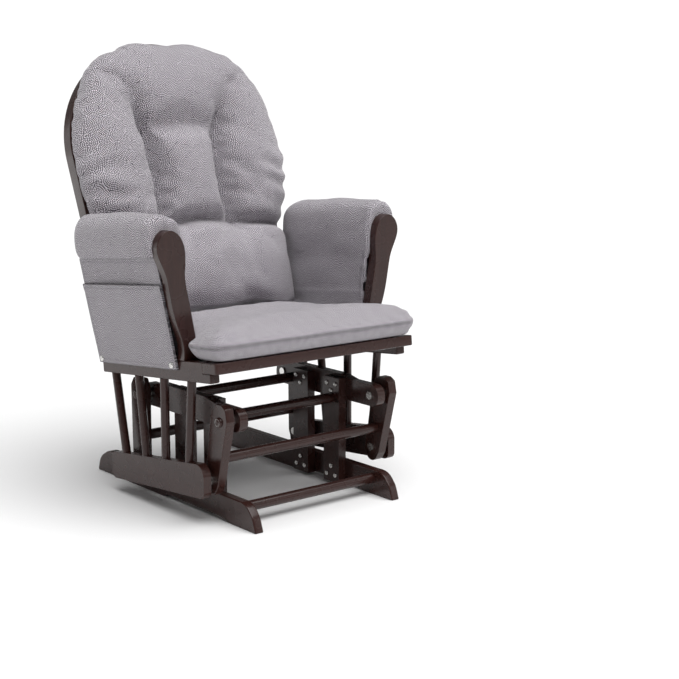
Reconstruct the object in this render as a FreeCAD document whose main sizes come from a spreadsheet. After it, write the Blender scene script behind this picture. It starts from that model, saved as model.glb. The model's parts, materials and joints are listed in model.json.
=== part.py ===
import FreeCAD, Part
import math
import os
import Sketcher

# Glider nursery chair: a floor-standing wooden base, two pairs of swing links and a gliding seat frame
# with a bent hoop back, flared arms and loose cushions.
#
# Frame: -Y is the front, +Z is up, and +X points to the right of a person who faces the chair, so the
# pieces named left are on the -X side.  The origin is on the floor under the middle.  Millimetres.
#
# Layers from the middle outwards, the same on both sides:
#   posts, runner and top rail, spacer, swing link, spacer, glide rail with spindles and seat side rail.
# The seat frame and the arms are drawn level and turned back together by seat_tilt; the hoop and the
# back cushion are drawn upright and turned back by back_recline.

# Plain sizes.  Every name becomes an aliased cell of the sheet.
SIZES = {
    # layer faces, measured from the middle plane
    "post_inner": 162.0,
    "base_inner": 184.0,
    "base_outer": 206.0,
    "link_inner": 219.0,
    "link_outer": 241.0,
    "glide_inner": 254.0,
    "side_inner": 250.0,
    "post_thick": 22.0,
    "base_thick": 22.0,
    "link_thick": 22.0,
    "glide_thick": 20.0,
    "side_thick": 24.0,
    # pivots
    "front_pivot_y": -294.0,
    "front_pivot_z": 237.0,
    "rear_pivot_y": 43.0,
    "rear_pivot_z": 241.0,
    "front_link_reach_y": 35.0,
    "front_link_drop": 136.0,
    "rear_link_reach_y": -1.0,
    "rear_link_drop": 160.0,
    "bolt_radius": 4.0,
    "bolt_hole_radius": 4.05,
    "open_hole_radius": 7.0,
    "bolt_head_radius": 9.5,
    "bolt_head_height": 4.0,
    "bolt_nut_radius": 8.0,
    "bolt_nut_height": 5.0,
    "lower_bolt_reach": 14.0,
    "lower_hole_depth": 15.0,
    "spacer_outer_radius": 11.0,
    "spacer_length": 12.4,
    "running_gap": 0.4,
    # cross bars: height and depth of each centre line
    "bar_radius": 12.0,
    "low_bar_y": -300.0,
    "low_bar_z": 39.0,
    "front_bar_y": -176.5,
    "front_bar_z": 214.0,
    "rear_bar_y": 4.0,
    "rear_bar_z": 233.0,
    "front_swing_bar_drop": 87.0,
    "rear_swing_bar_drop": 100.0,
    # posts and their screws
    "front_post_y": -176.5,
    "rear_post_y": -56.5,
    "post_half_width": 29.0,
    "post_bottom": 8.0,
    "post_top": 264.0,
    "screw_spread": 16.0,
    "screw_low_pair_z": 25.0,
    "screw_low_single_z": 46.0,
    "screw_high_single_z": 232.0,
    "screw_high_pair_z": 249.0,
    "screw_radius": 2.0,
    "screw_hole_radius": 2.05,
    "screw_head_radius": 5.0,
    "screw_head_height": 2.0,
    # spindles
    "spindle_radius": 10.0,
    "spindle_x": 264.0,
    "spindle_bury": 12.0,
    # seat frame, level drawing turned back by seat_tilt about its front lower corner
    "seat_origin_y": -314.0,
    "seat_origin_z": 328.0,
    "seat_tilt": 5.6,
    "front_board_half": 277.0,
    "front_board_front": -28.0,
    "front_board_back": 27.0,
    "front_board_bottom": 21.0,
    "front_board_thick": 24.0,
    "rear_rail_front": 388.0,
    "rear_rail_thick": 20.0,
    "side_height": 45.0,
    "slat_width": 70.0,
    "slat_thick": 12.0,
    "slat_top": 45.0,
    "slat_first": 60.0,
    "slat_pitch": 110.0,
    "board_round": 6.0,
    # hoop back, upright drawing turned back by back_recline about the foot of its legs
    "back_origin_y": 117.0,
    "back_origin_z": 300.0,
    "back_recline": 18.0,
    "hoop_radius": 271.0,
    "hoop_centre": 512.0,
    "hoop_foot_half": 247.6,
    "hoop_band": 22.0,
    "hoop_depth": 36.0,
    "back_rail_bottom": 130.0,
    "back_rail_height": 50.0,
    "back_rail_thick": 20.0,
    "back_slat_pitch": 110.0,
    "back_slat_width": 44.0,
    "back_slat_thick": 10.0,
    "back_slat_top": 760.0,
    # arms, level drawing that shares the turned seat frame
    "stile_front": -215.0,
    "stile_thick": 25.0,
    "arm_front": 90.0,
    "stile_clearance": 0.3,
    "pad_rear": 440.0,
    "arm_post_front": 398.0,
    "arm_rail_rear": 432.0,
    "skirt_rear": 460.0,
    "inner_skirt_rear": 436.0,
    "arm_bolt_front": 140.0,
    "arm_bolt_rear": 442.0,
    "arm_bolt_height": 34.0,
    "arm_bolt_x": 278.4,
    "arm_bolt_radius": 7.0,
    "arm_bolt_thick": 3.0,
    # cushions
    "seat_cushion_bottom": 45.5,
    "seat_cushion_thick": 77.0,
    "back_cushion_gap": 1.0,
    "cushion_gap": 0.5,
    "back_cushion_thick": 112.0,
}

# Outlines: (across, up, corner radius).  Each becomes three aliased cells per corner.
OUTLINES = {
    "runner": [
        (-375, 0, 0), (-363, 33, 42), (-338, 60, 42), (245, 60, 60), (287, 37, 42), (299, 0, 0),
        (-2, 0, 0), (-30, 8, 40), (-240, 8, 40), (-268, 0, 0),
    ],
    "top_rail": [
        (-322, 211, 22), (-322, 262, 24), (-228, 262, 30), (-188, 271, 40), (-2, 271, 40),
        (30, 264, 30), (71, 264, 24), (71, 211, 22),
    ],
    "glide_rail": [
        (-280, 68, 16), (-280, 145, 28), (107, 97, 14), (107, 34, 14),
    ],
    "front_link": [
        (-323, 240, 8), (-317, 268, 8), (-303, 276, 4), (-283, 276, 4), (-263, 258, 8), (-236, 96, 18),
        (-246, 68, 18), (-270, 68, 18), (-284, 90, 18),
    ],
    "rear_link": [
        (16, 262, 8), (27, 280, 4), (57, 280, 4), (69, 262, 8), (67, 80, 18),
        (55, 52, 18), (29, 52, 18), (18, 76, 18),
    ],
    "side_rail": [
        (0, 0, 4), (0, 21, 0), (27, 21, 0), (27, 45, 0), (453, 45, 4), (453, 0, 4),
    ],
    "pad": [
        (262, 270, 6), (262, 370, 40), (346, 370, 42), (346, 298, 20), (328, 270, 4),
    ],
    "outer_skirt": [
        (274.4, 23.5, 0), (278.4, 23.5, 0), (278.4, 46.0, 0), (316.4, 211.0, 0), (314.2, 211.6, 0),
        (327.0, 269.4, 0), (323.0, 269.4, 0), (274.4, 46.0, 0),
    ],
    "inner_skirt": [
        (250.4, 45.6, 0), (254.4, 45.6, 0), (266.6, 269.4, 0), (262.4, 269.4, 0),
    ],
    "arm_post": [
        (255.6, 45.0, 0), (273.4, 45.0, 0), (309.6, 248.0, 0), (275.6, 248.0, 0),
    ],
    "arm_rail": [
        (269.0, 248.0, 2), (314.0, 248.0, 2), (314.0, 269.6, 2), (269.0, 269.6, 2),
    ],
    "seat_cushion": [
        (-279, -45, 32), (279, -45, 32), (279, 86, 18), (236, 86, 8), (236, 415, 30),
        (-236, 415, 30), (-236, 86, 8), (-279, 86, 18),
    ],
    "back_front_view": [
        (-240, 60, 12), (240, 60, 12), (252, 372, 80), (297, 470, 90), (292, 590, 110), (215, 715, 110),
        (80, 768, 120), (-80, 768, 120), (-215, 715, 110), (-292, 590, 110), (-297, 470, 90),
        (-252, 372, 80),
    ],
    "back_side_view": [
        (0, 60, 0), (0, 768, 10), (-60, 768, 30), (-112, 652, 120), (-112, 60, 0),
    ],
}

# Spindles from back to front: where each meets the glide rail and the side rail.
SPINDLE_FEET = [57.0, -32.0, -115.0, -211.0]
SPINDLE_HEADS = [95.0, -8.0, -115.0, -226.0]

# Front view of an arm stile, bottom outside corner first, running up the outside and down the inside.
STILE_EDGE = [
    (276, 362), (277, 400), (292, 445), (303, 488), (309, 521), (316, 552), (330, 583), (337, 606),
    (331, 630), (311, 646), (288, 641), (271, 618), (266, 590), (268, 552), (264, 517), (251, 450),
    (242, 400), (238, 362),
]

SIDES = {"left": -1, "right": 1}

# Longer than the chair in any direction, for blocks that only trim other pieces.
REACH = 1200.0

os.makedirs("parts", exist_ok=True)
doc = FreeCAD.newDocument("glider_chair")
sheet = doc.addObject("Spreadsheet::Sheet", "sizes")
finished = []


def fill_sheet():
    """Write every driving size as a plain number with an alias."""
    cells = dict(SIZES)
    for name, corners in OUTLINES.items():
        for number, (across, up, radius) in enumerate(corners, 1):
            cells[f"{name}_across_{number}"] = float(across)
            cells[f"{name}_up_{number}"] = float(up)
            cells[f"{name}_round_{number}"] = float(radius)
    for number, (foot, head) in enumerate(zip(SPINDLE_FEET, SPINDLE_HEADS), 1):
        cells[f"spindle_foot_{number}"] = foot
        cells[f"spindle_head_{number}"] = head
    for number, (across, up) in enumerate(STILE_EDGE, 1):
        cells[f"stile_across_{number}"] = float(across)
        cells[f"stile_up_{number}"] = float(up)
    for row, (alias, value) in enumerate(cells.items(), 1):
        sheet.set(f"A{row}", alias)
        sheet.set(f"B{row}", str(value))
        sheet.setAlias(f"B{row}", alias)
    doc.recompute()


def size(alias):
    """Read one size back from the sheet."""
    return float(sheet.get(alias))


def finish(feature, label):
    """Name a finished piece and put it on the list of files to write."""
    feature.Label = label
    finished.append(feature)
    return feature


def turn(feature, angle_alias):
    """Turn a feature back about the X axis by an angle held in the sheet."""
    rotation = FreeCAD.Rotation(FreeCAD.Vector(-1, 0, 0), size(angle_alias))
    feature.Placement = FreeCAD.Placement(feature.Placement.Base, rotation)
    feature.setExpression("Placement.Rotation.Angle", f"sizes.{angle_alias}")


def place(feature, across, depth, height):
    """Tie the position of a feature to three expressions."""
    feature.setExpression("Placement.Base.x", across)
    feature.setExpression("Placement.Base.y", depth)
    feature.setExpression("Placement.Base.z", height)


def outline_sketch(body, plane, corners, holes):
    """Draw a closed outline and round holes on one of the body's own planes, every point tied to the sheet.

    Corners are pairs of expressions and holes are triples of them: across, up and, for a hole, its radius.
    """
    sketch = plane_sketch(body, "outline", plane)
    points = [FreeCAD.Vector(evaluate(across), evaluate(up), 0) for across, up in corners]
    count = len(points)
    for index in range(count):
        sketch.addGeometry(Part.LineSegment(points[index], points[(index + 1) % count]), False)
    for index in range(count):
        sketch.addConstraint(Sketcher.Constraint("Coincident", index, 2, (index + 1) % count, 1))
    for index, texts in enumerate(corners):
        for kind, text in zip(("DistanceX", "DistanceY"), texts):
            number = sketch.addConstraint(Sketcher.Constraint(kind, -1, 1, index, 1, evaluate(text)))
            sketch.setExpression(f"Constraints[{number}]", text)
    for across, up, radius in holes:
        add_circle(sketch, across, up, radius)
    return sketch


def plane_sketch(body, purpose, plane):
    """Empty sketch on one of the body's own origin planes."""
    sketch = body.newObject("Sketcher::SketchObject", f"{body.Name}_{purpose}")
    own_plane = [item for item in body.Origin.OriginFeatures if item.Role == plane][0]
    sketch.AttachmentSupport = [(own_plane, "")]
    sketch.MapMode = "FlatFace"
    return sketch


def add_circle(sketch, across, up, radius):
    """Add one circle given by three expressions over the sheet."""
    values = [evaluate(text) for text in (across, up, radius)]
    centre = FreeCAD.Vector(values[0], values[1], 0)
    circle = sketch.addGeometry(Part.Circle(centre, FreeCAD.Vector(0, 0, 1), values[2]), False)
    for kind, text, value in (("DistanceX", across, values[0]), ("DistanceY", up, values[1])):
        number = sketch.addConstraint(Sketcher.Constraint(kind, -1, 1, circle, 3, value))
        sketch.setExpression(f"Constraints[{number}]", text)
    number = sketch.addConstraint(Sketcher.Constraint("Radius", circle, values[2]))
    sketch.setExpression(f"Constraints[{number}]", radius)


def evaluate(text):
    """Value of a sum of sheet cells written as 'sizes.a + sizes.b - sizes.c'."""
    total = 0.0
    sign = 1.0
    for word in text.split():
        if word in "+-":
            sign = 1.0 if word == "+" else -1.0
            continue
        total += sign * size(word.replace("sizes.", ""))
        sign = 1.0
    return total


def round_corners(body, solid, outline, axes, along):
    """Round the corners of a padded outline, one fillet for each radius used."""
    by_radius = {}
    for number, corner in enumerate(OUTLINES[outline], 1):
        if corner[2] > 0:
            by_radius.setdefault(corner[2], []).append(number)
    for radius, numbers in by_radius.items():
        wanted = []
        for number in numbers:
            across = size(f"{outline}_across_{number}")
            up = size(f"{outline}_up_{number}")
            for index, edge in enumerate(solid.Shape.Edges, 1):
                box = edge.BoundBox
                flat = getattr(box, f"{axes[0]}Length") + getattr(box, f"{axes[1]}Length")
                off_across = abs(getattr(box.Center, axes[0].lower()) - across)
                off_up = abs(getattr(box.Center, axes[1].lower()) - up)
                at_corner = max(flat, off_across, off_up) < 0.01
                if at_corner and getattr(box, f"{along}Length") > 0.5:
                    wanted.append(f"Edge{index}")
        fillet = body.newObject("PartDesign::Fillet", f"{body.Name}_rounded")
        fillet.Base = (solid, wanted)
        fillet.setExpression("Radius", f"sizes.{outline}_round_{numbers[0]}")
        doc.recompute()
        solid = fillet
    return solid


def profile_body(label, outline, plane, length, reverse=False, holes=()):
    """Pad an outline into a board with rounded corners."""
    corners = [
        (f"sizes.{outline}_across_{number}", f"sizes.{outline}_up_{number}")
        for number in range(1, len(OUTLINES[outline]) + 1)
    ]
    body, pad = padded_body(label, plane, corners, length, reverse, holes)
    axes = {"YZ_Plane": ("Y", "Z"), "XZ_Plane": ("X", "Z"), "XY_Plane": ("X", "Y")}[plane]
    along = {"YZ_Plane": "X", "XZ_Plane": "Y", "XY_Plane": "Z"}[plane]
    round_corners(body, pad, outline, axes, along)
    return body


def padded_body(label, plane, corners, length, reverse, holes):
    """Body with one pad of an outline drawn on one of its planes."""
    body = doc.addObject("PartDesign::Body", label)
    sketch = outline_sketch(body, plane, corners, holes)
    pad = body.newObject("PartDesign::Pad", f"{label}_pad")
    pad.Profile = sketch
    pad.setExpression("Length", length)
    pad.Reversed = reverse
    doc.recompute()
    sketch.Visibility = False
    return body, pad


def side_board(label, side, outline, inner, thick, holes=()):
    """Board standing lengthways on one side, its inner face on a layer face."""
    body = profile_body(label, outline, "YZ_Plane", f"sizes.{thick}", reverse=side < 0, holes=holes)
    sign = "-" if side < 0 else ""
    body.setExpression("Placement.Base.x", f"{sign}sizes.{inner}")
    return body


def blind_holes(body, side, holes, depth):
    """Sink round holes into the inner face of a side board."""
    before = body.Shape.Volume
    sketch = plane_sketch(body, "holes", "YZ_Plane")
    for across, up, radius in holes:
        add_circle(sketch, across, up, radius)
    doc.recompute()
    pocket = body.newObject("PartDesign::Pocket", f"{body.Name}_sunk")
    pocket.Profile = sketch
    pocket.Reversed = side > 0
    pocket.setExpression("Length", depth)
    doc.recompute()
    if body.Shape.Volume > before - 1.0:
        raise RuntimeError(f"{body.Label}: the holes removed nothing")


def board(label, length, width, height):
    """Rectangular board with sizes tied to the sheet, still at the origin."""
    block = doc.addObject("Part::Box", label)
    block.setExpression("Length", length)
    block.setExpression("Width", width)
    block.setExpression("Height", height)
    return block


def tool_block(label, near, far):
    """Plain block between two corners, used only to trim other pieces."""
    block = doc.addObject("Part::Box", label)
    block.Length, block.Width, block.Height = far - near
    block.Placement.Base = near
    return block


def rod(label, radius, half_length, depth, up):
    """Round bar lying across the chair, centred on the middle plane."""
    bar = doc.addObject("Part::Cylinder", label)
    bar.setExpression("Radius", radius)
    bar.setExpression("Height", f"2 * {half_length}")
    bar.Placement = FreeCAD.Placement(FreeCAD.Vector(), FreeCAD.Rotation(FreeCAD.Vector(0, 1, 0), 90))
    place(bar, f"-{half_length}", depth, up)
    return bar


def cut(label, base, tool):
    """Take one object away from another."""
    result = doc.addObject("Part::Cut", label)
    result.Base = base
    result.Tool = tool
    doc.recompute()
    return result


def compound(label, solids):
    """Group of identical pieces kept as separate solids."""
    group = doc.addObject("Part::Feature", label)
    group.Shape = Part.makeCompound(solids)
    return finish(group, label)


def seat_point(along, up):
    """Place in the chair of a point drawn in the level seat frame."""
    tilt = math.radians(size("seat_tilt"))
    depth = size("seat_origin_y") + along * math.cos(tilt) + up * math.sin(tilt)
    height = size("seat_origin_z") - along * math.sin(tilt) + up * math.cos(tilt)
    return depth, height


def across_cylinder(radius, start, length, depth, height):
    """Solid cylinder along +X from a start plane."""
    return Part.makeCylinder(radius, length, FreeCAD.Vector(start, depth, height), FreeCAD.Vector(1, 0, 0))


def mirror_pair(right):
    """A solid for the right-hand side and its twin for the left."""
    return [right.mirror(FreeCAD.Vector(), FreeCAD.Vector(1, 0, 0)), right]


def build_base():
    """Runners, posts, top rails, cross bars and screws: everything that stays on the floor."""
    hole = "sizes.bolt_hole_radius"
    rail_holes = [
        ("sizes.front_pivot_y", "sizes.front_pivot_z", hole),
        ("sizes.rear_pivot_y", "sizes.rear_pivot_z", hole),
    ]
    for name, side in SIDES.items():
        finish(side_board(f"runner_{name}", side, "runner", "base_inner", "base_thick"), f"runner_{name}")
        rail = side_board(f"top_rail_{name}", side, "top_rail", "base_inner", "base_thick", rail_holes)
        finish(rail, f"top_rail_{name}")
        for end in ("front", "rear"):
            finish(post(f"post_{end}_{name}", side, f"{end}_post_y"), f"post_{end}_{name}")
    for spot, half in (("low", "base_inner"), ("front", "post_inner"), ("rear", "base_inner")):
        label = f"{spot}_cross_bar"
        bar = rod(label, "sizes.bar_radius", f"sizes.{half}", f"sizes.{spot}_bar_y", f"sizes.{spot}_bar_z")
        finish(bar, label)
    compound("post_screws", screws())


def screw_spots(centre):
    """Depth and height of the six screws of a post."""
    spread = size("screw_spread")
    return [
        (centre - spread, size("screw_low_pair_z")),
        (centre + spread, size("screw_low_pair_z")),
        (centre, size("screw_low_single_z")),
        (centre, size("screw_high_single_z")),
        (centre - spread, size("screw_high_pair_z")),
        (centre + spread, size("screw_high_pair_z")),
    ]


def post(label, side, centre):
    """Upright board bored for its screws."""
    low_y = f"sizes.{centre} - sizes.post_half_width"
    high_y = f"sizes.{centre} + sizes.post_half_width"
    corners = [
        (low_y, "sizes.post_bottom"), (low_y, "sizes.post_top"),
        (high_y, "sizes.post_top"), (high_y, "sizes.post_bottom"),
    ]
    hole = "sizes.screw_hole_radius"
    holes = [
        (f"sizes.{centre}", "sizes.screw_low_single_z", hole),
        (f"sizes.{centre}", "sizes.screw_high_single_z", hole),
    ]
    for across in (f"sizes.{centre} - sizes.screw_spread", f"sizes.{centre} + sizes.screw_spread"):
        holes.append((across, "sizes.screw_low_pair_z", hole))
        holes.append((across, "sizes.screw_high_pair_z", hole))
    body, _ = padded_body(label, "YZ_Plane", corners, "sizes.post_thick", side < 0, holes)
    sign = "-" if side < 0 else ""
    body.setExpression("Placement.Base.x", f"{sign}sizes.post_inner")
    return body


def screw(depth, height):
    """Round-headed screw through a post."""
    inner = size("post_inner")
    head = size("screw_head_height")
    shank = across_cylinder(size("screw_radius"), inner, size("post_thick"), depth, height)
    cap = across_cylinder(size("screw_head_radius"), inner - head, head, depth, height)
    return shank.fuse(cap).removeSplitter()


def screws():
    """The screws of all four posts, six to a post."""
    solids = []
    for centre in ("front_post_y", "rear_post_y"):
        for depth, height in screw_spots(size(centre)):
            solids += mirror_pair(screw(depth, height))
    return solids


def build_swings():
    """Front and rear swings: two links each, joined by a round bar."""
    hole = "sizes.bolt_hole_radius"
    open_hole = "sizes.open_hole_radius"
    for end, lower_hole in (("front", open_hole), ("rear", hole)):
        holes = [
            (f"sizes.{end}_pivot_y", f"sizes.{end}_pivot_z", hole),
            (f"sizes.{end}_pivot_y + sizes.{end}_link_reach_y",
             f"sizes.{end}_pivot_z - sizes.{end}_link_drop", lower_hole),
        ]
        for name, side in SIDES.items():
            link = side_board(f"{end}_link_{name}", side, f"{end}_link", "link_inner", "link_thick", holes)
            finish(link, f"{end}_link_{name}")
        share = size(f"{end}_swing_bar_drop") / size(f"{end}_link_drop")
        depth = f"sizes.{end}_pivot_y + sizes.{end}_link_reach_y * {share}"
        height = f"sizes.{end}_pivot_z - sizes.{end}_swing_bar_drop"
        label = f"{end}_swing_bar"
        finish(rod(label, "sizes.bar_radius", "sizes.link_inner", depth, height), label)


def lower_pivot(end):
    """Depth and height of the pivot at the foot of the front or rear links."""
    depth = size(f"{end}_pivot_y") + size(f"{end}_link_reach_y")
    height = size(f"{end}_pivot_z") - size(f"{end}_link_drop")
    return depth, height


def upper_bolt(depth, height):
    """Bolt from the inside of a top rail out through its link, with its nut."""
    start = size("base_inner")
    nut_start = size("link_outer") + size("running_gap")
    head = size("bolt_head_height")
    nut = size("bolt_nut_height")
    shank = across_cylinder(size("bolt_radius"), start, nut_start + nut - start, depth, height)
    cap = across_cylinder(size("bolt_head_radius"), start - head, head, depth, height)
    end = across_cylinder(size("bolt_nut_radius"), nut_start, nut, depth, height)
    return shank.fuse([cap, end]).removeSplitter()


def lower_bolt(depth, height):
    """Bolt from the inside of a link into its glide rail."""
    start = size("link_inner") - size("running_gap")
    length = size("glide_inner") + size("lower_bolt_reach") - start
    head = size("bolt_head_height")
    shank = across_cylinder(size("bolt_radius"), start, length, depth, height)
    cap = across_cylinder(size("bolt_head_radius"), start - head, head, depth, height)
    return shank.fuse(cap).removeSplitter()


def build_pivots():
    """Bolts and spacers of the four pivot axes, one pair to an axis."""
    upper = [(size(f"{end}_pivot_y"), size(f"{end}_pivot_z")) for end in ("front", "rear")]
    lower = [lower_pivot(end) for end in ("front", "rear")]
    rows = (
        ("upper", upper, upper_bolt, size("base_outer")),
        ("lower", lower, lower_bolt, size("glide_inner") - size("spacer_length")),
    )
    for name, spots, bolt, ring_start in rows:
        bolts, rings = [], []
        for depth, height in spots:
            bolts += mirror_pair(bolt(depth, height))
            rings += mirror_pair(ring(ring_start, depth, height))
        compound(f"{name}_pivot_bolts", bolts)
        compound(f"{name}_pivot_spacers", rings)


def ring(start, depth, height):
    """Spacer ring round a pivot bolt."""
    outer = across_cylinder(size("spacer_outer_radius"), start, size("spacer_length"), depth, height)
    inner = across_cylinder(size("bolt_hole_radius"), start, size("spacer_length"), depth, height)
    return outer.cut(inner)


def build_glide_sides():
    """Glide rail, side rail and four spindles on each side."""
    holes = [
        (f"sizes.{end}_pivot_y + sizes.{end}_link_reach_y", f"sizes.{end}_pivot_z - sizes.{end}_link_drop",
         "sizes.bolt_hole_radius")
        for end in ("front", "rear")
    ]
    for name, side in SIDES.items():
        glide = side_board(f"glide_rail_{name}", side, "glide_rail", "glide_inner", "glide_thick")
        blind_holes(glide, side, holes, "sizes.lower_hole_depth")
        finish(glide, f"glide_rail_{name}")
        rail = side_board(f"side_rail_{name}", side, "side_rail", "side_inner", "side_thick")
        sit_in_seat_frame(rail)
        finish(rail, f"side_rail_{name}")
        for number in range(1, len(SPINDLE_FEET) + 1):
            label = f"spindle_{name}_{number}"
            finish(spindle(label, side, number, glide, rail), label)


def sit_in_seat_frame(feature):
    """Move a level drawing into the turned seat frame."""
    feature.setExpression("Placement.Base.y", "sizes.seat_origin_y")
    feature.setExpression("Placement.Base.z", "sizes.seat_origin_z")
    turn(feature, "seat_tilt")
    doc.recompute()


def spindle(label, side, number, glide, rail):
    """Round spindle between the rails, its ends trimmed to their faces."""
    foot_y = size(f"spindle_foot_{number}")
    head_y = size(f"spindle_head_{number}")
    slope = math.tan(math.radians(size("seat_tilt")))
    head_z = size("seat_origin_z") - (head_y - size("seat_origin_y")) * slope
    first, second = OUTLINES["glide_rail"][1], OUTLINES["glide_rail"][2]
    foot_z = first[1] + (second[1] - first[1]) * (foot_y - first[0]) / (second[0] - first[0])
    across = side * size("spindle_x")
    foot = FreeCAD.Vector(across, foot_y, foot_z)
    axis = (FreeCAD.Vector(across, head_y, head_z) - foot).normalize()
    bury = size("spindle_bury")
    bar = doc.addObject("Part::Cylinder", f"{label}_bar")
    bar.setExpression("Radius", "sizes.spindle_radius")
    bar.Height = (FreeCAD.Vector(across, head_y, head_z) - foot).Length + 2 * bury
    bar.Placement = FreeCAD.Placement(foot - axis * bury, FreeCAD.Rotation(FreeCAD.Vector(0, 0, 1), axis))
    return cut(label, cut(f"{label}_trimmed", bar, glide), rail)


def build_seat():
    """Front board, rear rail and slats between the side rails."""
    blank = board(
        "front_board_blank", "2 * sizes.front_board_half",
        "sizes.front_board_back - sizes.front_board_front", "sizes.front_board_thick")
    seat_box(blank, -size("front_board_half"), size("front_board_front"), size("front_board_bottom"))
    rounded = doc.addObject("Part::Fillet", "front_board")
    rounded.Base = blank
    radius = size("board_round")
    rounded.Edges = [
        (index, radius, radius) for index, edge in enumerate(blank.Shape.Edges, 1)
        if edge.Length < size("front_board_thick") + 0.01
    ]
    doc.recompute()
    finish(rounded, "front_board")
    rear = board("rear_rail", "2 * sizes.side_inner", "sizes.rear_rail_thick", "sizes.side_height")
    seat_box(rear, -size("side_inner"), size("rear_rail_front"), 0.0)
    finish(rear, "rear_rail")
    for number in range(3):
        label = f"seat_slat_{number + 1}"
        slat = board(label, "2 * sizes.side_inner", "sizes.slat_width", "sizes.slat_thick")
        along = size("slat_first") + number * size("slat_pitch")
        seat_box(slat, -size("side_inner"), along, size("slat_top") - size("slat_thick"))
        finish(slat, label)


def seat_placement(across, along, up):
    """Placement in the chair of a piece drawn level at a point of the seat frame."""
    depth, height = seat_point(along, up)
    rotation = FreeCAD.Rotation(FreeCAD.Vector(-1, 0, 0), size("seat_tilt"))
    return FreeCAD.Placement(FreeCAD.Vector(across, depth, height), rotation)


def seat_box(feature, across, along, up):
    """Put a feature at a point of the seat frame, its tilt tied to the sheet."""
    feature.Placement = seat_placement(across, along, up)
    feature.setExpression("Placement.Rotation.Angle", "sizes.seat_tilt")
    doc.recompute()


def hoop_lean():
    """Outward lean of the hoop legs that makes them run smoothly into the round top."""
    foot = size("hoop_foot_half")
    centre = size("hoop_centre")
    return math.atan2(centre, foot) - math.acos(size("hoop_radius") / math.hypot(foot, centre))


def hoop_block(inset, thick):
    """Solid enclosed by the hoop, drawn in by an inset except at the foot, centred on its plane."""
    lean = hoop_lean()
    radius = size("hoop_radius") - inset
    centre = size("hoop_centre")
    foot = size("hoop_foot_half") - inset / math.cos(lean)
    touch_x = radius * math.cos(lean)
    touch_z = centre - radius * math.sin(lean)
    back = -thick / 2
    left = FreeCAD.Vector(-touch_x, back, touch_z)
    right = FreeCAD.Vector(touch_x, back, touch_z)
    left_foot = FreeCAD.Vector(-foot, back, 0)
    right_foot = FreeCAD.Vector(foot, back, 0)
    edges = [
        Part.makeLine(left_foot, left),
        Part.Arc(left, FreeCAD.Vector(0, back, centre + radius), right).toShape(),
        Part.makeLine(right, right_foot),
        Part.makeLine(right_foot, left_foot),
    ]
    return Part.Face(Part.Wire(edges)).extrude(FreeCAD.Vector(0, thick, 0))


def back_placement(across=0.0, forward=0.0, up=0.0):
    """Placement of an upright drawing in the reclined back."""
    rotation = FreeCAD.Rotation(FreeCAD.Vector(-1, 0, 0), size("back_recline"))
    origin = FreeCAD.Vector(0, size("back_origin_y"), size("back_origin_z"))
    return FreeCAD.Placement(origin + rotation.multVec(FreeCAD.Vector(across, -forward, up)), rotation)


def build_back():
    """Bent hoop, lower cross rail and upright slats."""
    hoop = doc.addObject("Part::Feature", "back_hoop")
    depth = size("hoop_depth")
    hoop.Shape = hoop_block(0.0, depth).cut(hoop_block(size("hoop_band"), depth))
    hoop.Placement = back_placement()
    finish(hoop, "back_hoop")
    rail = board(
        "back_rail_blank", "2 * sizes.hoop_radius", "sizes.back_rail_thick", "sizes.back_rail_height")
    rail.Placement = back_placement(
        -size("hoop_radius"), size("back_rail_thick") / 2, size("back_rail_bottom"))
    outside_hoop = doc.addObject("Part::Feature", "outside_hoop")
    around = Part.makeBox(2 * REACH, REACH, 2 * REACH, FreeCAD.Vector(-REACH, -REACH / 2, -REACH))
    outside_hoop.Shape = around.cut(hoop_block(size("hoop_band"), REACH))
    outside_hoop.Placement = back_placement()
    doc.recompute()
    finish(cut("back_rail", rail, outside_hoop), "back_rail")
    bottom = size("back_rail_bottom") + size("back_rail_height")
    for number, column in enumerate((-1, 0, 1), 1):
        blank = board(
            f"back_slat_blank_{number}", "sizes.back_slat_width", "sizes.back_slat_thick",
            "sizes.back_slat_top - sizes.back_rail_bottom - sizes.back_rail_height")
        across = column * size("back_slat_pitch") - size("back_slat_width") / 2
        blank.Placement = back_placement(across, size("back_slat_thick") / 2, bottom)
        doc.recompute()
        finish(cut(f"back_slat_{number}", blank, outside_hoop), f"back_slat_{number}")


def arm_board(label, side, outline, front, rear, stile_side):
    """Length of an arm section run backwards in the turned seat frame and trimmed behind the stile."""
    body = profile_body(label, outline, "XZ_Plane", f"sizes.{rear} - sizes.{front}", reverse=True)
    seat_box(body, 0.0, size(front), 0.0)
    body.Label = f"{label}_run"
    trimmed = cut(f"{label}_trimmed", body, stile_side)
    if side > 0:
        return trimmed
    twin = doc.addObject("Part::Mirroring", f"{label}_twin")
    twin.Source = trimmed
    twin.Normal = FreeCAD.Vector(1, 0, 0)
    doc.recompute()
    return twin


def stile(side):
    """Curved front board of an arm: a smooth edge with a flat foot."""
    points = [
        FreeCAD.Vector(side * size(f"stile_across_{number}"), 0, size(f"stile_up_{number}"))
        for number in range(1, len(STILE_EDGE) + 1)
    ]
    curve = Part.BSplineCurve()
    curve.interpolate(points)
    foot = Part.makeLine(points[-1], points[0])
    face = Part.Face(Part.Wire([curve.toShape(), foot]))
    plank = face.extrude(FreeCAD.Vector(0, size("stile_thick"), 0))
    plank.translate(FreeCAD.Vector(0, size("stile_front"), 0))
    below_top = Part.makeBox(2 * REACH, 2 * REACH, REACH, FreeCAD.Vector(-REACH, -REACH, -REACH))
    below_top.Placement = seat_placement(0.0, 0.0, size("side_height")).multiply(below_top.Placement)
    return plank.cut(below_top)


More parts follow.
